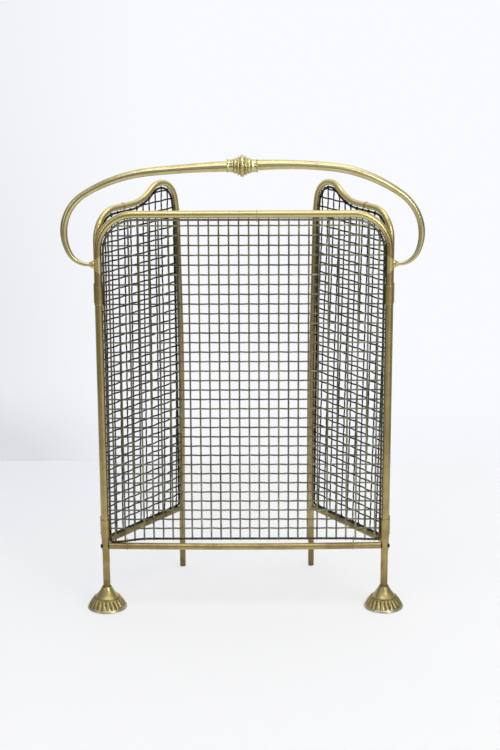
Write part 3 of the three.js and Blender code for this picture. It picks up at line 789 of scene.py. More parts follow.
def wing_rail(side, neck=2.9 * MM):
    """A rail that steps down to a neck at each end."""
    radius, half = WING_RAIL_RADIUS, WING_LENGTH / 2
    full, rounded, thin = (half - back * MM for back in (8.6, 8, 7.2))
    end = half - WING_RADIUS + 0.6 * MM
    profile = [(radius, full), (radius * 0.97, rounded), (neck, thin), (neck, end), (0, end)]
    rail = turned(f"wing_rail_{side}", centred(profile), 32, "X")
    return settle(rail, WING[side] @ moved((half, 0, WING_RAIL_Z)))


def plug_profile(rounding=0.9 * MM):
    """A cap as wide as its tube with a rounded foot."""
    radius, low = WING_RADIUS, -PLUG_HEIGHT + PLUG_SEAT
    profile = [(0, low)]
    for i in range(5):
        turn = radians(22.5 * i)
        profile.append((radius - rounding + rounding * sin(turn), low + rounding * (1 - cos(turn))))
    return profile + [(radius, -0.25 * MM), (radius - 0.2 * MM, 0), (radius * 0.7, 0), (0, 0)]


class GUARD_OT_wing_frames(GuardOperator, Operator):
    """Bend the two wing tubes, turn their rails and plug their open ends"""

    bl_idname = "guard.wing_frames"
    bl_label = "Wing frames"

    def execute(self, context):
        tint = context.scene.guard_tubes.wing_colour
        tops = (TOP_Z - 60 * MM, TOP_Z - 10 * MM)
        brass = aged_brass("wing_brass", tint, 0.4, 0.3, tops=tops)
        dull = aged_brass("wing_rail_brass", tint, 1.0, 0.4)
        for side in SIDES:
            body = f"{side}_wing"
            tube = Tube(f"wing_tube_{side}", WING_RADIUS, 36, (0, UPRIGHT_END_Z), 90)
            wing_top(tube, UPRIGHT_END_Z, 0, 14)
            tube.run(tube.at.z - PLUG_HEIGHT, 24).cap()
            frame_piece = settle(tube.done(), WING[side])
            rail = wing_rail(side)
            bowed(side, frame_piece, rail)
            fit(frame_piece, brass, "wing_brass", body, f"wing_frame_{side}")
            fit(rail, dull, "wing_brass", body, f"wing_bottom_rail_{side}")
            for spot, x, z in (("leg", WING_LENGTH, PLUG_HEIGHT), ("upright", 0, UPRIGHT_END_Z)):
                plug = turned(f"{spot}_plug_{side}", plug_profile(), 32)
                bowed(side, settle(plug, WING[side] @ moved((x, 0, z - PLUG_SEAT))))
                fit(plug, brass, "cast_brass", body, f"wing_{spot}_plug_{side}")
        return self.finished()


# ---- Wire cloth

EDGE_ROOM = 2.4 * MM  # The least from a wire to the border beside it
SHORTEST = 4 * MM  # The shortest wire worth weaving in
SPARE = 6  # Bends that a wire has past its cloth before it is cut


def tone(piece, value):
    """Marks a wire with its own tone, which the cloth's material reads."""
    attribute = piece.data.attributes.new("wire_tone", "FLOAT", "POINT")
    attribute.data.foreach_set("value", [value] * len(piece.data.vertices))


def crimped_wire(bends, radius, rise, crimp, pitch):
    """A wire along +X that goes over one wire at x = 0, under the next, and so on. It is
    pressed flat where it crosses another."""
    flat = crimp / radius - 0.02
    wire = primitive(
        "circle", vertices=6, radius=radius, location=(-pitch / 2, 0, 0), rotation=(0, pi / 2, 0)
    )
    freeze()
    edit(wire)
    here, thickness = (-0.5, 0.0), 1.0
    over_one = [(-0.18, 0.86), (0, 1), (0.18, 0.86), (0.5, 0)]
    for along, over in over_one + [(x + 1, -y) for x, y in over_one]:
        push(((along - here[0]) * pitch, (over - here[1]) * rise, 0))
        wanted = 1 - (1 - flat) * abs(over)
        scale((1, wanted / thickness, 1), (along * pitch, over * rise, 0))
        here, thickness = (along, over), wanted
    offset = {"use_relative_offset": False, "use_constant_offset": True}
    offset["constant_offset_displace"] = (2 * pitch, 0, 0)
    merge = {"use_merge_vertices": True, "merge_threshold": 1e-5}
    return modify(wire, "ARRAY", count=ceil(bends / 2), **offset, **merge)


def strand(master, spot, axis, start, stop):
    """A copy of the master wire at its place, cut to length and closed at both ends."""
    piece = copied(master, "strand")
    slide(spot)
    freeze()
    normal = Vector((0, 0, 1) if axis else (1, 0, 0))
    edit(piece)
    for at, way in ((start, -1), (stop, 1)):
        bpy.ops.mesh.select_all(action="SELECT")
        bpy.ops.mesh.bisect(
            plane_co=normal * at, plane_no=normal * way, use_fill=True, clear_outer=True
        )
    deselect()
    return piece


def even_places(low, high, pitch):
    """Upright wires at even pitch between two borders, with a mesh in the middle."""
    centre, room = (low + high) / 2, (high - low) / 2 - EDGE_ROOM
    half = int((room - pitch / 2) / pitch) + 1
    return [centre + (k + 0.5) * pitch for k in range(-half, half)]


def row_places(low, high, pitch):
    return [low + k * pitch for k in range(int((high - EDGE_ROOM - low) / pitch) + 1)]


def front_border(sizes, tube_corner):
    """The front cloth's border wire, up from its bottom left corner and round to it."""
    half, corner = POST_X - sizes.front_inset, tube_corner - sizes.front_inset
    bottom, top = RAIL_Z + sizes.front_lift - sizes.sag, TOP_Z - sizes.front_top_inset
    low = sizes.corner_radius
    side = top - corner - bottom - low
    border = Tube("border", sizes.border_radius, 12, (-half, bottom + low), 90)
    border.arch(side, corner, 2 * (half - corner), 10)
    border.run(side - sizes.sag + sizes.right_sag).bend(low, -90, 4)
    # The bottom rises from each corner in two slow bends and is level between them
    turns = [2 * atan2(sag, sizes.sag_length) for sag in (sizes.right_sag, sizes.sag)]
    (right, right_turn), (left, left_turn) = (
        (sizes.sag_length / (2 * sin(turn)), degrees(turn)) for turn in turns
    )
    border.bend(right, -right_turn, 3).bend(right, right_turn, 3)
    border.run(2 * (half - low - sizes.sag_length))
    return border.bend(left, left_turn, 3).bend(left, -left_turn, 3).bend(low, -90, 4)


def wing_border(sizes):
    """A wing cloth's border wire, up from its corner by the hinge and round to it."""
    inset, low = sizes.wing_inset, sizes.corner_radius
    start = WING_RAIL_Z + sizes.wing_lift + low
    border = Tube("border", sizes.border_radius, 12, (inset, start), 90)
    wing_top(border, start, inset, 12)
    border.run(border.at.z - start).bend(low, -90, 4)
    return border.run(WING_LENGTH - 2 * (inset + low)).bend(low, -90, 4)


def weave(name, sizes, border, columns, rows, place, body, node, slant=0.0, darkness=0.0):
    """Weaves a cloth inside its border and coils the end of each wire round it."""
    level_z = (rows[0] + rows[-1]) / 2
    pitch, radius, crimp, wrap = sizes.pitch, sizes.wire_radius, sizes.crimp, sizes.wrap_radius
    border_piece = border.done()
    tone(border_piece, -1)
    steady, thick = (sizes.wing_crimp, radius) if slant else (crimp, sizes.upright_radius)
    level = crimped_wire(len(columns) + SPARE, radius, 2 * crimp - steady, crimp, pitch)
    upright = crimped_wire(len(rows) + SPARE, thick, steady, crimp, pitch)
    settle(upright, spun(-pi / 2, "Y"))
    reach = sizes.border_radius + 0.9 * wrap
    coil = primitive(
        "torus", major_radius=reach, minor_radius=wrap, major_segments=9, minor_segments=5
    )
    pieces, ends = [], []
    for axis, places, master in ((1, rows, level), (0, columns, upright)):
        lean = 0.0 if axis else slant
        first = columns[0] if axis else rows[0]
        for index, at in enumerate(places):
            shade = random.random()
            back = first - (2 + (index + 1 - axis) % 2) * pitch
            spot = (back, 0, at) if axis else (at, 0, back)
            for start, stop in border.spans(axis, at, lean, level_z):
                if stop - start < SHORTEST:
                    continue
                wire = strand(master, spot, 1 - axis, start, stop)
                tone(wire, shade)
                if lean:
                    centre = Vector((at, 0, level_z))
                    settle(wire, moved(centre) @ spun(atan(lean), "Y") @ moved(-centre))
                pieces.append(wire)
                for end in (start, stop):
                    x, z = (end, at) if axis else (at + lean * (end - level_z), end)
                    turn = spun(pi / 2 - border.heading_at(x, z), "Y")
                    ends.append(settle(copied(coil, "wrapped_end"), moved((x, 0, z)) @ turn))
                    tone(ends[-1], shade - 0.5)
    for master in (level, upright, coil):
        bpy.data.objects.remove(master)
    wires = settle(joined(f"{name}_woven_wires", pieces), place)
    bound = settle(joined(f"{name}_cloth_border", [border_piece, *ends]), place)
    if slant:
        bowed(body.split("_")[0], wires, bound)
    face_out(wires)
    finish = wire_finish(sizes, f"{name}_cloth_wire", darkness)
    for piece in (wires, bound):
        fit(smooth(piece, 50), finish, "cloth_wire", body, node)


def wire_finish(sizes, name, darkness):
    """Drawn brass wire, each with its own tone, dark in the crossings, and pale on the front's top
    with a painted highlight of the overhead light.
    """
    f = new_finish(name)
    place = f.place()
    own = f.add("Attribute", output="Fac", attribute_name="wire_tone")
    drift = f.noise(place, 22, 3).between(0.3, 0.7)
    grime = f.noise(place, 160, 4).between(0.4, 0.72)
    # The border and the ends round it are blacker than the wires, most of all at the bottom. On the
    # front's top the border and the wires are painted pale instead: a painted highlight of the
    # overhead light.
    (height,) = f.axes(place, "Z")
    top = height.between(TOP_Z - 30 * MM, TOP_Z - 10 * MM) * (darkness == 0)
    bound = (1 - own.between(-0.8, 0.0)) * (1 - top)
    bottom = 1 - height.between(100 * MM, 130 * MM)
    old = bound * (0.06 + grime * 0.35 + bottom * 0.3) + darkness * (1 - 0.6 * bound)
    kept = (own * 0.55 + drift * 0.45 + top).clamped()
    light = f.blend(kept, sizes.dark_colour, sizes.light_colour)
    brown = f.noise(place, 9, 2).between(0.48, 0.62) * 0.55
    warm = f.blend(brown, light, sizes.bronze_colour)
    base = f.blend((grime * 0.35 + old).clamped(), warm, sizes.black_colour)
    return f.metal(base, (0.34 + grime * 0.3).clamped(), f.noise(place, 1500, 2), 0.15)


class GUARD_OT_wire_cloth(GuardOperator, Operator):
    """Weave the three panels of wire cloth and bind each round its border wire"""

    bl_idname = "guard.wire_cloth"
    bl_label = "Wire cloth"

    # How far a wing's level and upright wires lie off even places, and the uprights' slant
    askew = {"left": (-1.65 * MM, 2.7 * MM, 0.0125), "right": (-0.4 * MM, 2.2 * MM, -0.029)}

    def execute(self, context):
        sizes = context.scene.guard_cloth
        random.seed(7)
        pitch, inset = sizes.pitch, sizes.wing_inset
        first_row = RAIL_Z + sizes.front_lift + sizes.first_row
        border = front_border(sizes, context.scene.guard_tubes.corner_radius)
        half = POST_X - sizes.front_inset - sizes.first_inset
        columns = even_places(-half, half, pitch)
        rows = row_places(first_row, TOP_Z - sizes.front_top_inset, pitch)
        weave("front", sizes, border, columns, rows, FRONT, "front_panel", "front_wire_cloth")
        for side in SIDES:
            lower, along, slant = self.askew[side]
            border = wing_border(sizes)
            columns = even_places(inset, WING_LENGTH - inset, pitch)
            columns = [x + along for x in [columns[0] - pitch, *columns]]
            crest = max(z for _, z in border.line)
            rows = [z + lower for z in row_places(first_row, crest, pitch)]
            names = (f"{side}_wing", f"wing_wire_cloth_{side}")
            weave(f"wing_{side}", sizes, border, columns, rows, WING[side], *names, slant, 0.8)
        return self.finished()


# ---- Ties


def dip(cloth, x):
    """How far the front cloth's bottom border hangs at a place along it."""
    along = POST_X - cloth.front_inset - abs(x)
    share = min(1.0, max(0.0, (along - cloth.corner_radius) / cloth.sag_length))
    return (cloth.right_sag if x > 0 else cloth.sag) * (1 + cos(pi * share)) / 2


def tie_loop(name, tube_radius, offset, x, z):
    """A loop of wire round a tube and the border beside it."""
    cloth, wire = bpy.context.scene.guard_cloth, bpy.context.scene.guard_fittings.tie_radius
    big = tube_radius + wire + 0.05 * MM
    small = cloth.border_radius + 2 * cloth.wrap_radius + wire
    slope = degrees(asin((big - small) / abs(offset)))
    straight = (offset**2 - (big - small) ** 2) ** 0.5
    lean = radians(slope)
    tube = Tube(name, wire, 8, (big * cos(lean), big * sin(lean)), 90 + slope)
    tube.run(straight).bend(small, 180 - 2 * slope, 8).run(straight).bend(big, 180 + 2 * slope, 14)
    turn = spun(pi / 2, "Z")
    if offset < 0:
        turn = spun(pi, "X") @ turn
    return settle(tube.done(), moved((x, 0, z)) @ turn)


class GUARD_OT_ties(GuardOperator, Operator):
    """Tie the cloth's borders to the tubes with loops of thin wire"""

    bl_idname = "guard.ties"
    bl_label = "Ties"

    def execute(self, context):
        cloth, fittings = context.scene.guard_cloth, context.scene.guard_fittings
        ochre = (0.2, 0.15, 0.07)
        pale = aged_brass("tie_wire", fittings.tie_colour, 0.4, 0.35, dirt=ochre)
        old = aged_brass("old_tie_wire", context.scene.guard_tubes.wing_colour, 0.7, 0.4)
        for spot in ("top", "bottom_left", "bottom_right"):
            node = f"front_tie_{spot}"
            x = middle(node).x
            at_top = (POST_RADIUS, -cloth.front_top_inset, x, TOP_Z)
            at_rail = (RAIL_RADIUS, cloth.front_lift - dip(cloth, x), x, RAIL_Z)
            tie = tie_loop(f"{node}_wire", *(at_top if spot == "top" else at_rail))
            finish = pale if spot == "top" else old
            fit(settle(tie, FRONT), finish, "tie_wire", "front_panel", node)
        # How far from its axis a wing's rail is tied, and how far a top tie stands over its tube
        rail_bulk, over = 3.8 * MM, 1.3 * MM
        for side in SIDES:
            for spot, radius, offset in (
                ("top", WING_RADIUS, -cloth.wing_inset),
                ("bottom", rail_bulk, cloth.wing_lift),
            ):
                node = f"wing_tie_{spot}_{side}"
                x = (WING[side].inverted() @ middle(node)).x
                z = most(node).z - radius - over if spot == "top" else WING_RAIL_Z
                tie = tie_loop(f"{node}_wire", radius, offset, x, z)
                bowed(side, settle(tie, WING[side]))
                fit(tie, old, "tie_wire", f"{side}_wing", node)
        return self.finished()


# ---- Feet


def turned_foot(sizes):
    """A trumpet with a rim, a flange and leaning gadroons round it."""
    rim, flange, base, top, shoulder = 1.3, 3.3, 3.9, 14.2, 14.8
    big, tall, lobe, small, swell = FOOT_RADIUS / MM, FOOT_HEIGHT / MM, 24.8, 17.8, 0.9
    rows, columns, inside = 7, 6, 15
    # The rings of the gadroons: how far up, as a share, and their radius and height
    rings = []
    for i in range(1, rows):
        share = i / rows
        radius = lobe + (small - lobe) * share + swell * sin(pi * share)
        rings.append((share, radius * MM, (base + (top - base) * share) * MM))
    profile = [(0, 0), (big - 0.4, 0), (big, 0.4), (big, rim), (big - 0.25, rim + 0.6)]
    profile += [(25.6, flange - 0.3), (25.2, flange), (lobe + 0.1, flange + 0.15)]
    profile += [(lobe - 0.1, base)]
    profile += [(radius / MM, z / MM) for _, radius, z in rings]
    profile += [(small, top), (small + 0.25, top + 0.2), (small + 0.2, shoulder)]
    profile += [(small - 0.5, shoulder + 0.3)]
    profile += list(curve((17.2, 15.4), (11.4, 18.8), (6.2, tall), 11))[1:]
    neck = POST_RADIUS / MM + 0.1
    profile += [(6.1, tall), (neck, tall - 0.1), (neck, 16), (0, 16)]
    step = 2 * pi / (sizes.lobes * columns)
    foot = turned("gadrooned_foot_right", metres(profile), sizes.lobes * columns)
    edit(foot)

    def on_ring(vertex, z):
        return abs(vertex.co.z - z) < SLACK and vertex.co.to_2d().length > inside * MM

    for share, radius, z in rings:
        depth = sizes.lobe_depth * min(1, 2.2 * sin(pi * share))
        for place, weight in ((3, 1.0), (2, 0.42), (4, 0.42), (1, 0.1), (5, 0.1)):
            pick(lambda v: on_ring(v, z) and part(v.co.y, v.co.x, step, columns) == place)
            factor = 1 - depth * weight / radius
            scale((factor, factor, 1))
    for share, _, z in rings:
        pick(lambda v: on_ring(v, z))
        twist(-sizes.lean * columns * step * (share - 0.5), "Z")
    return subdivide(foot, 1)


def cast_finish(sizes, x, name):
    """Cast brass, rubbed bright on the lobes and dark with old polish between them."""
    f = new_finish(name)
    place = f.place()
    across, along, height = f.axes(f.moved(place, location=(-x, -FRONT_Y, 0)))
    angle_round = f.add("Math", [along, across], operation="ARCTAN2")
    lean = (height - 9 * MM) * (2 * pi * sizes.lean / (10.3 * MM))
    wave = (angle_round * float(sizes.lobes) - lean).cosine()
    valley = (0.5 - wave * 0.5) ** 5 * height.band(3.2 * MM, 4.2 * MM, 13.6 * MM, 14.6 * MM)
    # Darker within a millimetre of the floor: a painted contact shadow under the foot
    low = (1 - height.between(0.1 * MM, 0.8 * MM)) * 0.3
    seam = height.band(14.4 * MM, 14.9 * MM, 15.2 * MM, 17 * MM) * 0.5
    grime = f.noise(place, 120, 5).between(0.35, 0.72)
    clouds = f.noise(place, 40, 3).between(0.4, 0.7)
    dark = (valley * 0.7 + seam + low + grime * 0.3 + clouds * 0.22).clamped()
    rim_tint = (0.62, 0.6, 0.42)
    pale = f.blend(height.between(2.8 * MM, 4.2 * MM), rim_tint, sizes.crest_colour)
    base = f.blend(dark, pale, sizes.valley_colour)
    relief = grime + f.noise(place, 700, 2) * 0.5
    return f.metal(base, (0.33 + dark * 0.3).clamped(), relief, 0.12, 0.3 * MM)


class GUARD_OT_feet(GuardOperator, Operator):
    """Turn the two trumpet feet and cut the gadroons round them"""

    bl_idname = "guard.feet"
    bl_label = "Feet"

    def execute(self, context):
        sizes = context.scene.guard_feet
        foot = settle(turned_foot(sizes), moved((POST_X, FRONT_Y, 0)))
        twin = settle(copied(foot, "gadrooned_foot_left"), moved((-2 * POST_X, 0, 0)))
        for piece, side in ((foot, "right"), (twin, "left")):
            finish = cast_finish(sizes, SIGN[side] * POST_X, f"cast_brass_{side}")
            fit(smooth(piece, 50), finish, "cast_brass", "front_panel", f"front_foot_{side}")
        return self.finished()


# ---- Hinge clips and lugs


def clip(fittings, gap=0.25 * MM):
    """Two sleeves with beaded ends and the waist between them, bored for both tubes."""
    name = "sleeve_clip_upper_right"
    post, wing = Vector((POST_X, FRONT_Y, 0)), Vector((HINGE["right"].x, HINGE["right"].y, 0))
    bores = ((POST_RADIUS, post), (WING_RADIUS, wing))
    sleeves = []
    for bore, centre in bores:
        out = bore + gap + fittings.sheet
        bead = out + fittings.bead
        profile = [(out, CLIP_HALF - 1.3 * MM), (bead - 0.1 * MM, CLIP_HALF - 1.05 * MM)]
        profile += [(bead, CLIP_HALF - 0.6 * MM), (bead - 0.1 * MM, CLIP_HALF - 0.15 * MM)]
        profile += [(out, CLIP_HALF), (0, CLIP_HALF)]
        sleeves.append(settle(turned(name, centred(profile), 48), moved(centre)))
    piece = carve(*sleeves, "UNION")
    reach = wing - post
    extent = (fittings.waist, reach.length, 2 * CLIP_HALF - 0.4 * MM)
    waist = primitive("cube", size=1, scale=extent)
    settle(waist, moved((post + wing) / 2) @ spun(atan2(reach.y, reach.x) - pi / 2, "Z"))
    carve(piece, waist, "UNION")
    for bore, centre in bores:
        drill = primitive("cylinder", vertices=48, radius=bore + gap, depth=3 * CLIP_HALF)
        carve(piece, settle(drill, moved(centre)))
    return piece


class GUARD_OT_hinge_clips(GuardOperator, Operator):
    """Roll the four sleeve clips that join the posts to the wing uprights"""

    bl_idname = "guard.hinge_clips"
    bl_label = "Hinge clips"

    def execute(self, context):
        tubes = context.scene.guard_tubes
        brass = aged_brass("clip_brass", tubes.front_colour, 0.55, 0.3)
        right = settle(clip(context.scene.guard_fittings), moved((0, 0, CLIP_Z["upper"])))
        drop = CLIP_Z["lower"] - CLIP_Z["upper"]
        lower = settle(copied(right, "sleeve_clip_lower_right"), moved((0, 0, drop)))
        for level, piece in (("upper", right), ("lower", lower)):
            names = ("frame_brass", "front_panel", f"hinge_clip_{level}")
            fit_mirrored(piece, f"sleeve_clip_{level}_left", brass, *names)
        return self.finished()


def lug(handle):
    """A sheet clasp round the post, spreading from the boss in two hollow curves."""
    inner, outer = POST_RADIUS + 0.1 * MM, POST_RADIUS + 1.25 * MM
    tall = LUG_HALF + MM
    ring = [(inner, -tall), (outer, -tall), (outer, tall), (inner, tall), (inner, -tall)]
    clasp = turned("handle_clasp_right", ring, 64)
    rim, boss_end, back, waist = 5.1 * MM, 3.4 * MM, 3.2 * MM, 8.6 * MM
    side = list(curve((-back, LUG_HALF), (POST_RADIUS / 2, waist), (outer, rim), 8))
    side += [(x, -z) for x, z in reversed(side)]
    window = drawn("window", [Vector((x, -4 * outer, z)) for x, z in side + side[:1]])
    bpy.ops.mesh.remove_doubles(threshold=MERGE)
    bpy.ops.mesh.edge_face_add()
    push((0, 8 * outer, 0))
    carve(clasp, face_out(window), "INTERSECT")
    end, bore = LUG_END - POST_X, handle.peg_radius + 0.25 * MM
    profile = [(0, inner * 0.9), (rim + 0.2 * MM, inner * 0.9), (rim + 0.2 * MM, outer + 0.3 * MM)]
    profile += [(rim - 0.3 * MM, outer + 0.8 * MM), (boss_end + 0.5 * MM, end - 2 * MM)]
    profile += [(boss_end + 0.15 * MM, end - 0.8 * MM), (boss_end - 0.25 * MM, end)]
    profile += [(bore, end), (bore, outer), (0, outer)]
    carve(clasp, turned("boss", profile, 32, "X"), "UNION")
    return carve(clasp, primitive("cylinder", vertices=64, radius=inner, depth=4 * tall))


class GUARD_OT_lugs(GuardOperator, Operator):
    """Cut the two clasps that hold the handle and turn their bosses"""

    bl_idname = "guard.lugs"
    bl_label = "Lugs"

    def execute(self, context):
        brass = aged_brass("lug_brass", context.scene.guard_fittings.lug_colour, 0.08, 0.34, 0.5)
        right = settle(lug(context.scene.guard_handle), moved((POST_X, FRONT_Y, PIVOT.z)))
        names = ("handle_brass", "front_panel", "handle_lug")
        fit_mirrored(right, "handle_clasp_left", brass, *names)
        return self.finished()


# ---- Handle

PEG_RUN = 6.5 * MM  # The straight end of an arm, in its lug
HALF_WAVE = 210 * MM  # The middle to the place where an arm is back at its true height
REEDS_END, REEDS_FADE = 0.55, 0.3  # Where the reeds end and how long they fade, as shares
PLUMP_REACH = 0.2  # How far either way an arm is thicker, as a share of its length


def handle_finish(name, film):
    tint = bpy.context.scene.guard_handle.handle_colour
    return aged_brass(name, tint, film, 0.3, 0.06, (0.15, 1, 1))


def bow_bends():
    """The bow's bends: (radius, turn, steps) from the level through the leaf cup."""
    crown, shoulder, side_turn, neck, shoulder_radius = 5.6, 28.2, 80.3, 25.7 * MM, 188 * MM
    a, b, c = (radians(v) for v in (crown, crown + shoulder, crown + shoulder + side_turn))
    peg_tip = POST_X + POST_RADIUS + 0.6 * MM

    def reach(start, stop):
        return sin(stop) - sin(start)

    def drop(start, stop):
        return cos(start) - cos(stop)

    width = peg_tip + PEG_RUN - (ARM_START + CUP_LENGTH)
    width -= shoulder_radius * reach(a, b) + neck * reach(c, pi)
    height = BOW_Z - PIVOT.z - shoulder_radius * drop(a, b) - neck * drop(c, pi)
    whole = reach(0, a) * drop(b, c) - reach(b, c) * drop(0, a)
    crown_radius = (width * drop(b, c) - height * reach(b, c)) / whole
    side_radius = (height * reach(0, a) - width * drop(0, a)) / whole
    return (
        (crown_radius, -crown, 10),
        (shoulder_radius, -shoulder, 18),
        (side_radius, -side_turn, 36),
        (neck, crown + shoulder + side_turn - 180, 10),
    )


def arm(name, sizes, aside, lean, spread, plump_at):
    """An arm on the right. The bow is a little out of true: towards the knop it is moved
    sideways, halfway along it stands above or below its place, and its side bulges."""
    root, peg, columns = sizes.root_radius, sizes.peg_radius, sizes.reeds * 4
    step = 2 * pi / columns
    tube = Tube(name, root, columns, (ARM_START, BOW_Z), 0)
    tube.run(CUP_LENGTH, 2)
    for bend in bow_bends():
        tube.bend(*bend)
    tube.run(PEG_RUN, 2)
    along = [0.0]
    for a, b in zip(tube.line, tube.line[1:]):
        along.append(along[-1] + dist(a, b))
    length = along[-1]
    # The radius at some places along the arm
    stops = [(0, root), (CUP_LENGTH, root), (0.19 * length, 5.6 * MM), (0.38 * length, 5.3 * MM)]
    stops += [(0.6 * length, 4.4 * MM), (0.8 * length, sizes.low_radius), (0.89 * length, 3.4 * MM)]
    stops += [(length - PEG_RUN - 4 * MM, peg * 1.1), (length - PEG_RUN + 0.5 * MM, peg)]
    stops += [(length + MM, peg)]
    for ring, at in enumerate(along):
        after = next(i for i, (stop, _) in enumerate(stops) if stop >= at - 1e-7)
        (a, ra), (b, rb) = stops[max(0, after - 1)], stops[after]
        wanted = ra + (rb - ra) * ((at - a) / (b - a) if b > a else 0)
        wanted += sizes.plump * max(0.0, 1 - abs(at / length - plump_at) / PLUMP_REACH)
        x, z = tube.line[ring]
        fade = min(1, max(0, REEDS_END - at / length) / REEDS_FADE)
        if fade > 0:
            pick(lambda v: round((tube.around(ring, v) or 0) / step) % 4 == 2)
            scale((1 - sizes.reed_depth * fade,) * 3, (x, 0, z))
        tube.pick_ring(ring)
        scale((wanted / root,) * 3, (x, 0, z))
    tube.cap()
    for ring, (x, z) in enumerate(tube.line):
        share = (z - PIVOT.z) / (BOW_Z - PIVOT.z)
        rise = lean * share * max(0.0, sin(pi * x / HALF_WAVE))
        tube.pick_ring(ring)
        out = aside * min(1, 1.8 * share) + spread * sin(pi * min(1, max(0, share)))
        slide((out, 0, rise))
    return settle(smooth(subdivide(tube.piece, 2)), FRONT)


class GUARD_OT_handle(GuardOperator, Operator):
    """Bend the two tapered arms of the bow handle and cut their reeds"""

    bl_idname = "guard.handle"
    bl_label = "Handle"

    def execute(self, context):
        sizes = context.scene.guard_handle
        aside, lift, lean = sizes.shift, sizes.lift, sizes.lean
        left = flipped(arm("bow_arm_left", sizes, aside, lift - lean, sizes.spread, 0.76))
        right = arm("bow_arm_right", sizes, -aside, lift + lean, 0.0, 0.47)
        finish = handle_finish("handle_brass", 0.25)
        fit_pair(right, left, finish, "handle_brass", "handle", "handle_arm", 50)
        return self.finished()


def turned_knop(sizes, columns=4):
    """A fat gadrooned disc between two rings and two collars, which reach into the cups."""
    end = ARM_START / MM
    half = [(14.2, 0), (14.1, 1), (13.4, 2.2), (12.2, 2.9), (10.7, 3.2), (10.5, 3.4), (10.9, 3.6)]
    half += [(11.9, 4.1), (12.2, 4.8), (11.8, 5.7), (10.8, 6.3), (9.4, 6.7), (9.1, 7), (9.4, 7.3)]
    half += [(10, 7.9), (10, 9), (9.4, end - 0.9), (8.4, end - 0.2), (7.4, end + 0.6)]
    half += [(0, end + 0.8)]
    profile = metres([(r, -x) for r, x in reversed(half)] + half[1:])
    step = 2 * pi / (sizes.gadroons * columns)
    knop = turned("turned_knop", profile, sizes.gadroons * columns, "X")
    edit(knop)

    def in_valley(vertex, low, high):
        x, y, z = vertex.co
        return low <= x <= high and hypot(y, z) > 9 * MM and part(z, y, step, columns) == 2

    for low, high, depth in ((-2.5, 2.5, 0.04), (3.9, 5.9, 0.02), (-5.9, -3.9, 0.02)):
        pick(lambda v: in_valley(v, low * MM, high * MM))
        scale((1, 1 - depth, 1 - depth))
    # The lobes of the disc lean: its two faces are turned against each other
    for way in (-1, 1):
        pick(lambda v: 0.5 * MM < way * v.co.x < 3.3 * MM)
        twist(way * step, "X")
    return smooth(subdivide(knop, 1), 60)


def leaf_cup(sizes, columns=4):
    """A cup of petals whose tips curl away from the arm."""
    inner = sizes.root_radius + 0.1 * MM
    start, length = ARM_START, 1.25 * CUP_LENGTH
    # How far each ring stands out, in millimetres, and its place as a share of the length
    rings = [(0, 0), (1.9, 0), (1.5, 0.2), (1, 0.45), (1, 0.7), (1.4, 0.9), (1.9, 1.05)]
    rings += [(1.5, 1.12), (0.7, 0.95), (0.2, 0.7), (0, 0.45), (0, 0)]
    profile = [(inner + out * MM, start + share * length) for out, share in rings]
    step = 2 * pi / (sizes.petals * columns)
    cup = turned("leaf_cup_right", profile, sizes.petals * columns, "X")
    edit(cup)
    lip = start + 0.85 * length

    def pick_part(low, high, *parts):
        pick(lambda v: low < v.co.x < high and part(v.co.z, v.co.y, step, columns) in parts)

    pick_part(lip, 1, 2)
    slide((-0.42 * length, 0, 0))
    scale((1, 0.88, 0.88))
    pick_part(lip, 1, 1, 3)
    slide((-0.08 * length, 0, 0))
    pick_part(start + 0.1 * length, lip, 2)
    scale((1, 0.92, 0.92))
    return subdivide(cup, 2)


class GUARD_OT_knop(GuardOperator, Operator):
    """Turn the knop at the middle of the bow and open a leaf cup on each side"""

    bl_idname = "guard.knop"
    bl_label = "Knop and leaf cups"

    def execute(self, context):
        sizes = context.scene.guard_handle
        place = moved((-sizes.shift, FRONT_Y, BOW_Z))
        finish = handle_finish("knop_brass", 0.15)
        fit(settle(turned_knop(sizes), place), finish, "handle_brass", "handle", "handle_knop")
        right = leaf_cup(sizes)
        left = settle(flipped(copied(right, "leaf_cup_left")), place)
        settle(right, place)
        fit_pair(right, left, finish, "handle_brass", "handle", "handle_leaf_cup", 60)
        return self.finished()


# ---- Studio


def lit_sheet(f, tint, painted_reflection_level, paper, share):
    """Paper that glows with its tint for the camera and glows at a painted reflection level for the
    metal, and throws plain light. The share that isn't glowing tint keeps the shadows. From its
    back the camera sees through it."""
    rays = [f"Is {kind} Ray" for kind in ("Camera", "Glossy", "Transmission")]
    camera, glossy, through = f.several("LightPath", None, *rays)
    lit, glow = f.shader("BsdfDiffuse", paper), f.shader("Emission", tint, Strength=1.0)
    seen = f.add("MixShader", [(camera + through).clamped() * share, lit, glow])
    painted_reflection = f.shader("Emission", paper, Strength=painted_reflection_level)
    both = f.add("MixShader", [glossy, seen, painted_reflection])
    back = f.add("NewGeometry", output="Backfacing")
    sheet = f.add("MixShader", [back * camera, both, f.add("BsdfTransparent")])
    f.add("OutputMaterial", {"Surface": sheet})


def stage_sheet(name, reach, place, turn=(0, 0, 0)):
    """A sheet of the studio's paper and its new finish."""
    sheet = primitive("plane", size=1, rotation=turn)
    sheet.name = name
    bpy.ops.transform.resize(value=reach)
    slide(place)
    freeze()
    f = new_finish(name)
    sheet.data.materials.append(f.owner)
    return sheet, f


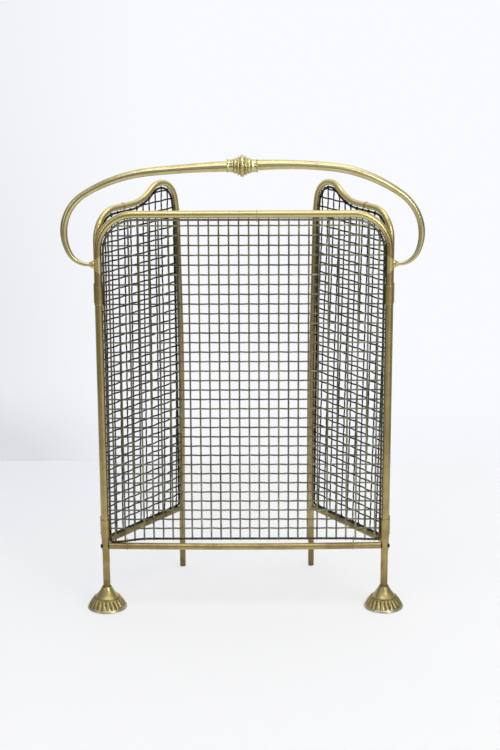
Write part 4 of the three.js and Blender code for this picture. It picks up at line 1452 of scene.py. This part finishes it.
def ground(studio):
    floor, f = stage_sheet("studio_floor", (9, 5.1, 1), (0, -2, -0.0002))
    x, y = f.axes(f.place(), "XY")
    # Painted shade: the floor is darker to the far left
    shade = ((1 - x.between(-0.5, 0.1)) * 0.62 + 0.08) * y.between(-0.4, 0.6)
    tint = f.blend(shade, studio.floor_colour, studio.shade_colour)
    # In the metal the paper is a painted reflection that ends a short way off, with a painted
    # bright strip towards the key lamp
    back = y - FRONT_Y
    away = (x * x + back * back) ** 0.5
    aim = (x * sin(studio.key_angle) - back * cos(studio.key_angle)) / away
    towards = aim.between(0.62, 0.97)
    paper = (1 - away.between(0.6, 1.15)) * (1 - studio.room_shade) * (0.86 + 0.14 * towards)
    painted_reflection_level = (paper + towards * studio.key_reflection_strip + studio.room_shade).clamped()
    lit_sheet(f, tint, painted_reflection_level, studio.floor_colour, 0.62)


def backdrop(studio):
    wall, f = stage_sheet("studio_backdrop", (9, 1, 3.4), (0, 0.55, 1.7), (pi / 2, 0, 0))
    x, z = f.axes(f.place(), "XZ")
    # Painted shade: the backdrop is darker on its left and at its foot
    left = 1 - x.between(-0.5, -0.1)
    low, foot = 1 - z.between(0.2, 0.7), 1 - z.between(-0.02, 0.15)
    shade = left * (0.36 + low * 0.25 + foot * 0.7) + foot * 0.12
    tint = f.blend(shade.clamped(), studio.wall_colour, studio.shade_colour)
    # The metal sees a painted reflection, darker far to each side and brighter high up
    paper = 1 - x.magnitude().between(0.5, 1.0) * (1 - studio.room_shade)
    lit_sheet(f, tint, paper + z.between(0.5, 0.9) * 0.15, studio.wall_colour, 1.0)


def lamps(studio):
    """A wide soft box overhead, a tall one to the right of the camera and a low fill."""
    for name, place, target, width, height, power in (
        ("overhead", (0.2, -0.45, 2.3), (0, -0.2, 0.3), 2.2, 1.1, 16),
        ("key", (1.5, -2.4, 1.5), (0, 0, 0.35), 0.7, 1.5, 26),
        ("fill", (-2.2, -2.0, 1.0), (0, 0, 0.3), 0.8, 1.4, 6),
    ):
        aim = (Vector(target) - Vector(place)).to_track_quat("-Z", "Y").to_euler()
        bpy.ops.object.light_add(type="AREA", location=place, rotation=aim)
        lamp = bpy.context.object
        lamp.name = f"{name}_lamp"
        lamp.data.shape = "RECTANGLE"
        lamp.data.size, lamp.data.size_y = width, height
        lamp.data.energy = power * studio.lamp_power


def room(scene):
    """A pale room, darker at eye level on the camera's side."""
    scene.world = bpy.data.worlds.new("studio_room")
    f = Finish(scene.world)
    (height,) = f.axes(f.add("TexCoord", output="Generated"), "Z")
    dark = (1 - height.between(0.05, 0.55)) * height.between(-0.4, -0.02)
    pale, dim, seen = (0.58, 0.59, 0.62), (0.1, 0.097, 0.094), (0.94, 0.95, 0.97)
    tint = f.blend(dark, pale, dim)
    tint = f.blend(f.add("LightPath", output="Is Camera Ray"), tint, seen)
    f.add("OutputWorld", {"Surface": f.shader("Background", tint, Strength=1.0)})


def set_camera(scene, tilt=-15.766, pan=0.305, roll=-0.23):
    bpy.ops.object.camera_add()
    camera = bpy.context.object
    camera.name = "studio_camera"
    camera.data.sensor_width = 36
    camera.data.lens = scene.guard_studio.lens
    aim = spun(radians(pan), "Z") @ spun(radians(90 + tilt), "X") @ spun(radians(roll), "Z")
    camera.matrix_world = moved((0.0189, FRONT_Y - 2.16664, 0.93396)) @ aim
    scene.camera = camera


class GUARD_OT_studio(GuardOperator, Operator):
    """Set the floor, the backdrop, the lamps, the world and the camera"""

    bl_idname = "guard.studio"
    bl_label = "Studio"

    def execute(self, context):
        studio = context.scene.guard_studio
        ground(studio)
        backdrop(studio)
        lamps(studio)
        room(context.scene)
        set_camera(context.scene)
        context.scene.view_settings.view_transform = "Standard"
        return self.finished()


# ---- Panel, registration and the whole guard

STEPS = GuardOperator.__subclasses__()


class GUARD_PT_panel(Panel):
    bl_idname = "GUARD_PT_panel"
    bl_label = "Fire guard"
    bl_space_type = "VIEW_3D"
    bl_region_type = "UI"
    bl_category = "Fire Guard"

    def draw(self, context):
        for step in STEPS:
            self.layout.operator(step.bl_idname)
        for group, kind in GROUPS.items():
            box = self.layout.box()
            for name in kind.__annotations__:
                box.prop(getattr(context.scene, group), name)


KINDS = (*GROUPS.values(), *STEPS, GUARD_PT_panel)


def register():
    for kind in KINDS:
        bpy.utils.register_class(kind)
    for name, kind in GROUPS.items():
        setattr(bpy.types.Scene, name, PointerProperty(type=kind))


def unregister():
    for name in GROUPS:
        delattr(bpy.types.Scene, name)
    for kind in reversed(KINDS):
        bpy.utils.unregister_class(kind)


def main():
    register()
    bpy.ops.guard.front_frame()
    bpy.ops.guard.wing_frames()
    bpy.ops.guard.wire_cloth()
    bpy.ops.guard.ties()
    bpy.ops.guard.feet()
    bpy.ops.guard.hinge_clips()
    bpy.ops.guard.lugs()
    bpy.ops.guard.handle()
    bpy.ops.guard.knop()
    bpy.ops.guard.studio()


if __name__ == "__main__":
    main()
